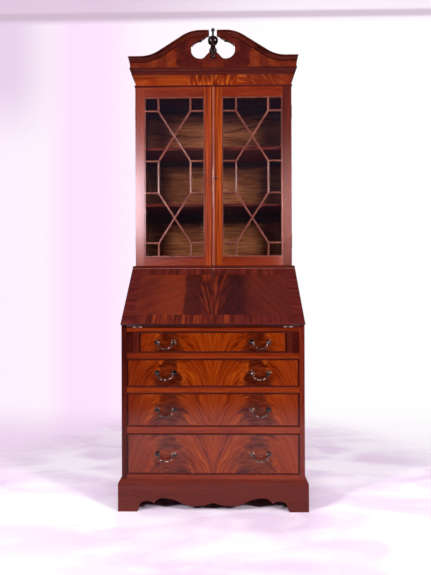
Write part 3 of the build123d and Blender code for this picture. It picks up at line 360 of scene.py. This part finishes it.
def drawer_veneer(number):
    """Book-matched flame mahogany: arcs spring from a dark plume each side of the joint."""
    plume_place = 0.176  # from the joint
    plume_strength = (0.95, 0.95, 0.9, 0.6)[number - 1]
    low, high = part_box(f"drawer_{number}_front")
    seed = number * 0.31
    shade = new_shade(f"flame_drawer_{number}")
    x, _, z = shade.split(shade.place)
    up = shade.math("SUBTRACT", z, (low.z + high.z) / 2)
    mirrored = shade.math("ABSOLUTE", x)
    wander = shade.noise(shade.join(mirrored, up, seed), 9, 2)
    swirl = shade.noise(shade.join(mirrored, up, seed + 3.0), 30, 3, 0.6, 1.0)
    plume = shade.stray(plume_place, wander, 0.05)
    away = shade.math("ABSOLUTE", shade.math("SUBTRACT", mirrored, plume))

    arc = shade.math("MULTIPLY_ADD", shade.math("POWER", away, 3.0), 46.0, up)
    arc = shade.math("MULTIPLY_ADD", swirl, 0.004, arc)
    drift = shade.math("MULTIPLY", mirrored, 0.25)
    coarse = shade.noise(shade.join(arc, drift, seed + 5.0), 26, 1, 0.5)
    fine = shade.noise(shade.join(arc, drift, seed + 9.0), 110, 2, 0.5)
    stripes = shade.math("ADD", shade.math("MULTIPLY", coarse, 0.5), shade.math("MULTIPLY", fine, 0.5))
    bright, deep = flame_tones(shade, stripes)

    below_top = shade.math("SUBTRACT", (high.z - low.z) / 2, up)
    plume_half = shade.math("MULTIPLY_ADD", below_top, 0.38, 0.034)
    ragged = shade.stray(shade.math("SUBTRACT", away, plume_half), swirl, 0.05)
    colour = shade.mix(shade.span(ragged, -0.024, 0.016, plume_strength, 0.0), bright, deep)
    flame = shade.math("MULTIPLY", shade.band(ragged, 0.002, 0.01, 0.01), shade.span(swirl, 0.5, 0.62))
    colour = shade.mix(shade.math("MULTIPLY", flame, 0.4), colour, srgb(184, 84, 22))
    side = shade.mix(shade.span(x, -0.1, 0.1), srgb(102, 29, 10), srgb(134, 46, 15))
    colour = shade.mix(shade.span(mirrored, 0.23, 0.31, 0.0, 0.6), colour, side)
    seam = shade.span(mirrored, 0.0004, 0.0016, 0.35, 0.0)
    colour = shade.mix(seam, colour, srgb(96, 28, 6))
    pores = shade.span(shade.noise(shade.scaled(shade.place, (1, 1, 0.06)), 800, 2), 0.6, 0.72)
    colour = shade.mix(shade.math("MULTIPLY", pores, 0.3), colour, srgb(70, 20, 6))
    return polished(shade, colour, fine, 0.27, 0.6)


def fall_leaves(shade, across, droop):
    """The fall's drooping streaks: dull at the far left and on the right, warm beside the left cloud."""
    streaks = shade.noise(shade.join(droop, shade.math("MULTIPLY", across, 0.25), 4.0), 34, 3, 0.5)
    field = shade.ramp(
        streaks,
        (0.3, srgb(76, 21, 11)),
        (0.5, srgb(93, 31, 15)),
        (0.7, srgb(112, 42, 20)),
    )
    field = shade.mix(shade.span(across, 0.05, 0.2, 0.0, 0.5), field, srgb(68, 22, 18))
    field = shade.mix(shade.span(across, -0.33, -0.2, 0.45, 0.0), field, srgb(82, 26, 17))
    warm = shade.math("MULTIPLY", shade.band(across, -0.2, -0.13, 0.07), 0.45)
    return shade.mix(warm, field, srgb(116, 43, 17))


def fall_clouds(shade, across, up, wander, field):
    """Two dark clouds over the field, one each side of the middle."""
    ragged = shade.stray(across, wander, 0.045)
    grain = shade.noise(shade.join(across, shade.math("MULTIPLY", up, 0.15), 3.0), 120, 3, 0.6)
    cloud = shade.ramp(grain, (0.36, srgb(32, 9, 9)), (0.62, srgb(54, 16, 15)))
    left = shade.math("MULTIPLY", shade.band(ragged, -0.112, -0.05, 0.02), 0.75)
    right = shade.math("MULTIPLY", shade.band(ragged, 0.03, 0.11, 0.08), 0.92)
    return shade.mix(shade.math("MAXIMUM", left, right), field, cloud)


def fall_palm(shade, across, up, wander, field):
    """A palm over the middle of the field: fronds that spread from a point below the fall."""
    frond = shade.math("DIVIDE", across, shade.math("POWER", shade.math("ADD", up, 0.11), 2.0))
    frond = shade.stray(frond, wander, 0.12)
    leaf = shade.noise(shade.join(frond, shade.math("MULTIPLY", up, 1.2), 6.0), 6.5, 2, 0.5)
    palm = shade.ramp(
        leaf,
        (0.38, srgb(48, 13, 8)),
        (0.5, srgb(78, 23, 12)),
        (0.62, srgb(116, 42, 18)),
    )
    reach = shade.math("MULTIPLY_ADD", up, 0.12, 0.034)
    inside = shade.math("SUBTRACT", shade.stray(shade.math("ABSOLUTE", across), wander, 0.05), reach)
    return shade.mix(shade.span(inside, -0.02, 0.014, 0.9, 0.0), field, palm)


def fall_border(shade, across, up, field):
    """Crossbanding around the field, vivid along the bottom left, with a dark line inside it."""
    inner_half = FALL_HALF - FALL_BORDER
    inner_top = FALL_TOP - FALL_BORDER
    mirrored = shade.math("ABSOLUTE", across)
    sides = shade.span(mirrored, inner_half - 0.0005, inner_half + 0.0005, kind="LINEAR")
    bottom = shade.span(up, FALL_BORDER, FALL_BORDER + 0.001, 1.0, 0.0, "LINEAR")
    top = shade.span(up, inner_top, inner_top + 0.001, kind="LINEAR")
    upright = shade.noise(shade.join(across, shade.math("MULTIPLY", up, 0.08), 1.0), 62, 3, 0.55, 0.3)
    level = shade.noise(shade.join(shade.math("MULTIPLY", across, 0.08), up, 6.0), 72, 3, 0.55, 0.3)
    crossgrain = shade.blend(sides, upright, level)
    banding = shade.ramp(
        crossgrain,
        (0.36, srgb(64, 17, 12)),
        (0.52, srgb(85, 26, 19)),
        (0.68, srgb(104, 37, 25)),
    )
    vivid = shade.ramp(
        crossgrain,
        (0.4, srgb(58, 15, 8)),
        (0.52, srgb(92, 29, 12)),
        (0.64, srgb(136, 52, 18)),
    )
    glow = shade.math("MULTIPLY", shade.band(across, -0.26, 0.06, 0.05), bottom)
    glow = shade.math("MULTIPLY", glow, shade.math("SUBTRACT", 1.0, sides))
    banding = shade.mix(shade.math("MULTIPLY", glow, 0.85), banding, vivid)
    colour = shade.mix(shade.math("MAXIMUM", sides, shade.math("MAXIMUM", bottom, top)), field, banding)

    side_line = shade.band(mirrored, inner_half - FALL_LINE, inner_half, 0.0004)
    low_line = shade.band(up, FALL_BORDER, FALL_BORDER + FALL_LINE, 0.0004)
    high_line = shade.band(up, inner_top - FALL_LINE, inner_top, 0.0004)
    within = shade.span(mirrored, inner_half, inner_half + 0.0005, 1.0, 0.0)
    level_lines = shade.math("MULTIPLY", shade.math("MAXIMUM", low_line, high_line), within)
    lines = shade.math("MAXIMUM", side_line, level_lines)
    return shade.mix(shade.math("MULTIPLY", lines, 0.35), colour, srgb(40, 12, 10))


def fall_veneer():
    """The fall's outer face: matched leaves and a palm between dark clouds, in a crossbanded border."""
    shade = new_shade("fall_veneer")
    shifted = shade.scaled(shade.place, (1, 1, 1), tuple(-FALL_HINGE))
    across = shade.split(shifted)[0]
    up = shade.dot(shifted, FALL_UP)
    wander = shade.noise(shade.join(across, up, 2.0), 14, 3, 0.55, 0.5)
    slope = shade.span(across, -0.05, 0.05, 0.54, 1.35)
    droop = shade.math("ADD", up, shade.math("MULTIPLY", shade.math("ABSOLUTE", across), slope))
    droop = shade.stray(droop, wander, 0.03)

    field = fall_leaves(shade, across, droop)
    field = fall_clouds(shade, across, up, wander, field)
    field = fall_palm(shade, across, up, wander, field)
    colour = fall_border(shade, across, up, field)
    # a thin pale line along the fall's top edge: painted highlight
    top_edge_highlight = shade.span(up, FALL_TOP - 0.0055, FALL_TOP - 0.0035, 0.0, 0.6)
    colour = shade.mix(top_edge_highlight, colour, srgb(204, 136, 122))
    fibres = shade.noise(shade.join(droop, shade.math("MULTIPLY", across, 0.1), 9.0), 420, 2, 0.6)
    return polished(shade, colour, fibres, 0.3, 0.5)


def frieze_veneer():
    """The frieze: calm wood to the left, upright flame in the middle, slanting streaks to the right."""
    shade = new_shade("frieze_veneer")
    x, _, z = shade.split(shade.place)
    level = shade.noise(shade.join(shade.math("MULTIPLY", x, 0.12), z, 1.0), 60, 3, 0.5, 0.5)
    fan = shade.math("MULTIPLY_ADD", shade.math("MULTIPLY", x, z), -1.4, shade.math("MULTIPLY", x, 3.62))
    upright = shade.noise(shade.join(fan, shade.math("MULTIPLY", z, 0.3), 2.0), 66, 2, 0.5, 0.3)
    diagonal = shade.math("ADD", x, z)
    slanting = shade.noise(shade.join(diagonal, shade.math("MULTIPLY", z, 0.3), 3.0), 80, 2, 0.5)
    middle = shade.band(x, -0.112, 0.108, 0.014)
    right = shade.span(x, 0.14, 0.17)
    figure = shade.blend(middle, level, upright)
    figure = shade.blend(right, figure, slanting)
    colour = shade.ramp(
        figure,
        (0.36, srgb(104, 29, 8)),
        (0.5, srgb(134, 46, 12)),
        (0.62, srgb(184, 84, 28)),
    )
    patch = shade.math("MULTIPLY", shade.band(x, -0.24, -0.15, 0.04), 0.55)
    colour = shade.mix(shade.span(x, -0.13, -0.1, 0.55, 0.0), colour, srgb(138, 49, 14))
    colour = shade.mix(patch, colour, srgb(158, 64, 16))
    colour = shade.mix(shade.math("MULTIPLY", shade.span(x, 0.11, 0.2), 0.6), colour, srgb(106, 33, 19))
    return polished(shade, colour, level, 0.36, 0.15)


def tympanum_veneer():
    """The pediment's board: dark in the middle, with lighter patches towards its ends."""
    shade = new_shade("tympanum_veneer")
    x, _, z = shade.split(shade.place)
    mirrored = shade.math("ABSOLUTE", x)
    figure = shade.noise(shade.join(mirrored, shade.math("MULTIPLY", z, 0.5), 1.0), 24, 3, 0.5, 0.8)
    fine = shade.noise(shade.join(shade.math("MULTIPLY", x, 0.3), z, 4.0), 160, 3, 0.6)
    tone = shade.math("ADD", shade.math("MULTIPLY", figure, 0.6), shade.math("MULTIPLY", fine, 0.4))
    dark = shade.ramp(tone, (0.38, srgb(66, 17, 11)), (0.52, srgb(84, 25, 15)), (0.66, srgb(102, 34, 19)))
    light = shade.ramp(tone, (0.38, srgb(94, 28, 11)), (0.52, srgb(122, 44, 16)), (0.66, srgb(146, 62, 22)))
    ragged = shade.stray(mirrored, figure, 0.03)
    patch = shade.band(ragged, 0.176, 0.21, 0.014)
    patch = shade.math("MAXIMUM", patch, shade.span(ragged, 0.17, 0.2, 0.0, 0.4))
    ends = shade.math("MULTIPLY", shade.span(ragged, 0.24, 0.262), 0.72)
    low = shade.span(z, 1.93, 1.97, 1.0, 0.0)
    foot = shade.math("MULTIPLY", shade.span(ragged, 0.03, 0.06, 0.8, 0.0), low)
    mask = shade.math("MAXIMUM", shade.math("MAXIMUM", patch, ends), foot)
    colour = shade.mix(mask, dark, light)
    return polished(shade, colour, fine, 0.3, 0.5)


# ---------------------------------------------------------------- metals and glass


def brass(name, bright, tarnish, cover, rough, metallic=1.0, lacquer=0.0):
    """Brass with patches of dark tarnish over a share of it, bare or under lacquer; the bare share can be a
    pale painted glint.
    """
    shade = new_shade(name)
    cloud = shade.noise(shade.place, 70, 4, 0.6, 0.5)
    grit = shade.noise(shade.place, 900, 2)
    edge = 0.3 + 0.4 * cover
    aged = shade.span(cloud, edge - 0.04, edge + 0.04, 1.0, 0.0)
    colour = shade.mix(aged, bright, tarnish)
    return shade.surface(
        {
            "Base Color": colour,
            "Metallic": metallic,
            "Roughness": shade.span(aged, 0.0, 1.0, rough, rough + 0.16),
            "Coat Weight": lacquer,
            "Coat Roughness": 0.08,
            "Normal": shade.bump(grit, 0.0003, 0.2),
        }
    )


def clear_glass():
    """Window glass that lets lamps through, with a faint ripple."""
    shade = new_shade("old_glass")
    tint = srgb(240, 244, 246)
    ripple = shade.noise(shade.place, 5, 2)
    clear = shade.node(
        "ShaderNodeBsdfPrincipled",
        {
            "Base Color": tint,
            "Roughness": 0.0,
            "IOR": 1.45,
            "Transmission Weight": 1.0,
            "Normal": shade.bump(ripple, 0.002, 0.15),
        },
    )
    open_way = shade.node("ShaderNodeBsdfTransparent", {0: tint})
    shadow = shade.node("ShaderNodeLightPath").outputs["Is Shadow Ray"]
    mixed = shade.node("ShaderNodeMixShader", {0: shadow, 1: clear.outputs[0], 2: open_way.outputs[0]})
    shade.node("ShaderNodeOutputMaterial", {"Surface": mixed.outputs[0]})
    return shade.owner


# ---------------------------------------------------------------- painting the nodes


def paint(node, material, *rules):
    """Give a node its material, and each rule's own to the faces whose centre and normal pass its test."""
    mesh = nodes[node].data
    mesh.materials.clear()
    mesh.materials.append(material)
    for index, (other, test) in enumerate(rules, 1):
        mesh.materials.append(other)
        for face in mesh.polygons:
            if test(face.center, face.normal):
                face.material_index = index


rail_wood = plain_wood("rail_wood", "x", 1, **MAHOGANY)
stile_wood = plain_wood("stile_wood", "z", 2, film_rough=0.2, **MAHOGANY)
meeting_wood = meeting_stiles()
side_wood = plain_wood("side_wood", "z", 3, **DEEP_MAHOGANY)
side_edge_wood = plain_wood("side_edge_wood", "z", 11, **EDGE_MAHOGANY)
depth_wood = plain_wood("depth_wood", "y", 4, **DEEP_MAHOGANY)
level_wood = plain_wood("level_wood", "x", 5, **DEEP_MAHOGANY)
shaded_moulding_wood = plain_wood("shaded_moulding_wood", "x", 6, rough=0.3, coat=0.4, **SHADED_MOULDING_MAHOGANY)
bar_wood = plain_wood("bar_wood", "z", 10, rough=0.3, coat=0.4, **BAR_MAHOGANY)
plinth_wood = plain_wood("plinth_wood", "x", 7, rough=0.36, coat=0.3, **PLINTH_MAHOGANY)
plinth_side_wood = plain_wood("plinth_side_wood", "y", 7, rough=0.36, **PLINTH_MAHOGANY)
dark_edge_wood = plain_wood("dark_edge_wood", "z", 15, coat=0.15, **DARK_BEAD)
shaded_stile_wood = plain_wood("shaded_stile_wood", "z", 17, film_rough=0.2, **DEEP_MAHOGANY)
bead_wood = plain_wood("bead_wood", "x", 14, rough=0.24, coat=0.6, **DARK_BEAD)
finial_wood = plain_wood("finial_wood", "z", 8, rough=0.2, coat=0.7, **FINIAL_TONES)
secondary_level = plain_wood("secondary_level", "x", 12, rough=0.55, coat=0.0, **SECONDARY)
secondary_depth = plain_wood("secondary_depth", "y", 13, rough=0.55, coat=0.0, **SECONDARY)
back_wood = back_panel()
# mostly dark tarnish, with pale pinkish patches that are painted glints
tarnish_and_glint_brass = brass("tarnish_and_glint_brass", srgb(196, 144, 128), srgb(9, 5, 4), 0.68, 0.16, 0.3, 0.8)
# pale and nearly non-metallic: painted light, so that the hinge leaves read bright in the fall's shadow
painted_light_brass = brass("painted_light_brass", srgb(255, 222, 200), srgb(214, 168, 140), 0.2, 0.4, 0.1)
bright_brass = brass("bright_brass", srgb(232, 200, 130), srgb(150, 112, 62), 0.2, 0.22)
glass = clear_glass()


def faces_side(centre, normal):
    return abs(normal.x) > 0.7


def faces_front(centre, normal):
    return normal.y < -0.7


def stile_part(centre, normal):
    """The uprights of a door frame, which stand outside the width of its pane."""
    return not GLASS_X[0] < abs(centre.x) < GLASS_X[1]


def meeting_part(centre, normal):
    return abs(centre.x) < GLASS_X[0]


def in_bead(centre, normal):
    return centre.y < VENEER_FRONT - 0.0001


def in_veneer(centre, normal):
    return abs(centre.y - VENEER_FRONT) < 0.0003 and normal.y < -0.99


def fall_face(centre, normal):
    return normal.dot(FALL_OUT) > 0.9


def left_front_edge(centre, normal):
    """The front edge of the desk's left side, which is darker than the right one."""
    return faces_front(centre, normal) and centre.x < 0


def in_posts(centre, normal):
    return POSTS[0] < centre.z < POSTS[1] and abs(centre.x) > POST_INSIDE


def in_gallery_box(centre, normal):
    return centre.y > GALLERY_BOX


def in_cove(centre, normal):
    return FRIEZE_TOP < centre.z < COVE_TOP


paint("plinth_front", plinth_wood)
paint("plinth_sides", plinth_wood, (plinth_side_wood, faces_side))
paint("plinth_back_and_blocks", secondary_level)
paint("desk_sides", side_wood, (side_edge_wood, faces_front), (dark_edge_wood, left_front_edge))
paint("desk_bottom", secondary_level)
paint("desk_back", secondary_level)
paint("desk_top", level_wood)
paint("writing_bed", level_wood, (rail_wood, faces_front))
paint("front_frame", rail_wood, (shaded_stile_wood, in_posts))
paint("drawer_runners", secondary_depth)
paint("waist_moulding", shaded_moulding_wood)
paint("loper_left", depth_wood, (bead_wood, faces_front))
paint("loper_right", depth_wood, (bead_wood, faces_front))
paint("fall_panel", level_wood, (fall_veneer(), fall_face))
paint("gallery_case", level_wood)
paint("gallery_drawer", rail_wood, (secondary_depth, in_gallery_box))
paint("bookcase_sides", side_wood)
paint("bookcase_top_and_bottom", level_wood)
paint("bookcase_back", secondary_level, (back_wood, faces_front))
paint("bookcase_shelves", level_wood)
frieze_wood = frieze_veneer()
paint("frieze", frieze_wood)
paint("bookcase_mouldings", shaded_moulding_wood, (frieze_wood, in_cove))
paint("pediment_moulding", shaded_moulding_wood)
paint("pediment_board", level_wood, (tympanum_veneer(), faces_front))
paint("finial", finial_wood)
for word, outer_stile in (("left", stile_wood), ("right", shaded_stile_wood)):
    paint(f"{word}_door_frame", rail_wood, (outer_stile, stile_part), (meeting_wood, meeting_part))
    paint(f"{word}_door_glass", glass)
    paint(f"{word}_door_bars", bar_wood)
for number in DRAWERS:
    paint(f"drawer_{number}_front", rail_wood, (bead_wood, in_bead), (drawer_veneer(number), in_veneer))
    paint(f"drawer_{number}_box", secondary_depth)
    paint(f"drawer_{number}_pull_posts", tarnish_and_glint_brass)
    paint(f"drawer_{number}_bail_left", tarnish_and_glint_brass)
    paint(f"drawer_{number}_bail_right", tarnish_and_glint_brass)
paint("fall_hinge_fixed_leaves", painted_light_brass)
for name in ("fall_hardware", "fall_key", "right_door_hardware", "door_key"):
    paint(name, tarnish_and_glint_brass)
for name in ("fall_bolt", "left_door_hinge_leaves", "door_hinge_case_leaves", "door_bolt"):
    paint(name, bright_brass)

# ---------------------------------------------------------------- floor and backdrop

FLOOR_CENTRE = Vector((0, -0.35, 0))
FLOOR_EDGE = (1.0, 1.62)  # the cloth fades out between these distances from its centre


def floor():
    """A pale cloth on the floor, with the faint shade of creases painted on, that melts into the backdrop.
    """
    centre = FLOOR_CENTRE + Vector((0, 0, cad_box[0].z))
    bpy.ops.mesh.primitive_circle_add(vertices=96, radius=FLOOR_EDGE[1], fill_type="NGON", location=centre)
    cloth = bpy.context.object
    cloth.name = "floor"
    shade = new_shade("floor_cloth")
    # lavender patches: painted shade of creases in the cloth
    crease_shade = shade.noise(shade.scaled(shade.place, (0.7, 1.8, 1)), 3.2, 3, 0.5, 0.8)
    colour = shade.ramp(crease_shade, (0.38, srgb(228, 208, 232)), (0.6, srgb(247, 237, 249)))
    bounce = shade.node("ShaderNodeLightPath").outputs["Is Diffuse Ray"]
    colour = shade.mix(shade.math("MULTIPLY", bounce, 0.65), colour, srgb(0, 0, 0))
    finish = {"Base Color": colour, "Roughness": 0.7, "Specular IOR Level": 0.2}
    shader = shade.node("ShaderNodeBsdfPrincipled", finish)
    fade = shade.span(shade.length(shade.place), *FLOOR_EDGE)
    gone = shade.node("ShaderNodeBsdfTransparent")
    mixed = shade.node("ShaderNodeMixShader", {0: fade, 1: shader.outputs[0], 2: gone.outputs[0]})
    shade.node("ShaderNodeOutputMaterial", {"Surface": mixed.outputs[0]})
    cloth.data.materials.append(shade.owner)


def backdrop():
    """A pale studio: what a camera sees, tinted behind the desk with painted shade in bands and a corner,
    and the dim light it gives.
    """
    world = bpy.data.worlds.new("studio")
    bpy.context.scene.world = world
    shade = Shade(world)
    way = shade.node("ShaderNodeTexCoord").outputs["Generated"]
    x, y, z = shade.split(way)
    ahead = shade.math("MAXIMUM", y, 0.05)
    across = shade.math("DIVIDE", x, ahead)
    up = shade.math("DIVIDE", z, ahead)
    # the tint across the backdrop, slightly darker left of the desk: painted shade
    tint = shade.ramp(
        shade.span(across, -0.5, 0.5, kind="LINEAR"),
        (0.0, srgb(254, 240, 255)),
        (0.08, srgb(255, 242, 254)),
        (0.15, srgb(253, 227, 254)),
        (0.22, srgb(254, 228, 255)),
        (0.33, srgb(255, 246, 255)),
        (0.6, srgb(255, 254, 255)),
        (1.0, srgb(255, 255, 255)),
    )
    # the top left corner darker: painted shade
    corner = shade.math("MULTIPLY", shade.span(across, -0.5, -0.36, 1.0, 0.0), shade.span(up, 0.3, 0.5))
    tint = shade.mix(shade.math("MULTIPLY", corner, 0.75), tint, srgb(226, 200, 230))
    # a darker band low down, stronger to the left: painted shade on the floor behind the desk
    leftward = shade.span(across, -0.2, 0.3, 1.0, 0.3)
    low = shade.math("MULTIPLY", shade.span(up, -0.36, -0.26, 1.0, 0.0), leftward)
    tint = shade.mix(shade.math("MULTIPLY", low, 0.7), tint, srgb(230, 200, 230))
    # a darker band across the top: painted shade on the ceiling, darker to the left
    ceiling_shade = shade.span(up, 0.612, 0.622, kind="LINEAR")
    ceiling_shade_tint = shade.mix(shade.span(across, -0.3, 0.2), srgb(224, 200, 224), srgb(252, 238, 253))
    tint = shade.mix(shade.math("MULTIPLY", ceiling_shade, 0.9), tint, ceiling_shade_tint)
    # a dark line where the wall meets the ceiling: painted shade
    fold_shade = shade.math("MULTIPLY", shade.band(up, 0.628, 0.636, 0.008), 0.8)
    tint = shade.mix(fold_shade, tint, srgb(206, 184, 202))
    tint = shade.mix(shade.span(y, 0.5, 0.72), srgb(246, 236, 248), tint)
    seen = shade.node("ShaderNodeBackground", {"Color": tint})
    path = shade.node("ShaderNodeLightPath").outputs
    dimmed = shade.math("MULTIPLY_ADD", path["Is Diffuse Ray"], -0.82, 1.0)
    room = shade.math("MULTIPLY", shade.span(z, 0.0, 0.4, 0.0, 0.24), dimmed)
    lit = shade.node("ShaderNodeBackground", {"Color": srgb(190, 160, 214), "Strength": room})
    choice = {0: path["Is Camera Ray"], 1: lit.outputs[0], 2: seen.outputs[0]}
    mixed = shade.node("ShaderNodeMixShader", choice)
    shade.node("ShaderNodeOutputWorld", {"Surface": mixed.outputs[0]})


# ---------------------------------------------------------------- lights and camera


def softbox(name, place, target, size, power, colour=(1, 1, 1)):
    """A rectangular lamp at a place, facing a target."""
    lamp = bpy.data.lights.new(name, "AREA")
    lamp.shape = "RECTANGLE"
    lamp.size, lamp.size_y = size
    lamp.energy = power
    lamp.color = colour
    holder = bpy.data.objects.new(name, lamp)
    bpy.context.scene.collection.objects.link(holder)
    holder.location = place
    aim = Vector(target) - Vector(place)
    holder.rotation_mode = "QUATERNION"
    holder.rotation_quaternion = aim.to_track_quat("-Z", "Y")
    return holder


def lights():
    """A lamp each side, one behind, one over the floor, and two pairs that put a sheen on the doors."""
    lamps_y = -2.3  # the lamps in front of the desk stand in this plane
    middle = (0, 0, 1.0)
    softbox("key_left", (-2.75, lamps_y, 2.2), middle, (0.4, 0.55), 115, (1.0, 0.97, 0.98))
    softbox("key_right", (2.75, lamps_y, 2.2), middle, (0.4, 0.55), 115, (1.0, 0.97, 0.97))
    softbox("rear", (0, 3.2, 2.6), middle, (2.4, 1.6), 110)
    overhead = softbox("floor_lamp", (0, -1.9, 3.4), (0, -1.5, 0), (1.8, 0.5), 15)
    overhead.data.spread = radians(70)
    overhead.visible_glossy = False
    doors = {}
    for side in ("left", "right"):
        doors[side] = bpy.data.collections.new(f"{side}_door")
        for piece in ("frame", "bars"):
            doors[side].objects.link(nodes[f"{side}_door_{piece}"])
    cool = (1.0, 0.84, 0.96)
    warm = (1.0, 0.5, 0.46)
    for side, part, x, z, size, power, colour in (
        ("left", "middle", -0.97, 1.76, (0.45, 0.7), 62, cool),
        ("left", "long", -0.97, 1.81, (0.45, 1.15), 17, cool),
        ("right", "middle", 0.69, 1.7, (0.14, 0.6), 11, warm),
        ("right", "long", 0.69, 1.7, (0.14, 1.2), 9, warm),
    ):
        sheen = softbox(f"sheen_{side}_{part}", (x, lamps_y, z), (x, 0, z), size, power, colour)
        sheen.light_linking.receiver_collection = doors[side]
        sheen.visible_diffuse = False
        sheen.visible_transmission = False


def camera():
    """A view from the front: level, a little right of the middle, turned and tipped by under a degree."""
    eye_x, eye_distance, eye_height = (0.0396, 1.7608, 0.909)
    turn_angle = 0.897
    tip_angle = -0.181
    view = bpy.data.cameras.new("camera")
    view.sensor_width = 36
    view.lens = 27.03
    holder = bpy.data.objects.new("camera", view)
    bpy.context.scene.collection.objects.link(holder)
    eye = Matrix.Translation((eye_x, FRONT - eye_distance, eye_height))
    turn = Matrix.Rotation(radians(turn_angle), 4, "Z")
    level = Matrix.Rotation(radians(90), 4, "X")
    tip = Matrix.Rotation(radians(tip_angle), 4, "Z")
    holder.matrix_world = eye @ turn @ level @ tip
    bpy.context.scene.camera = holder


floor()
backdrop()
lights()
camera()
bpy.context.scene.view_settings.view_transform = "Standard"
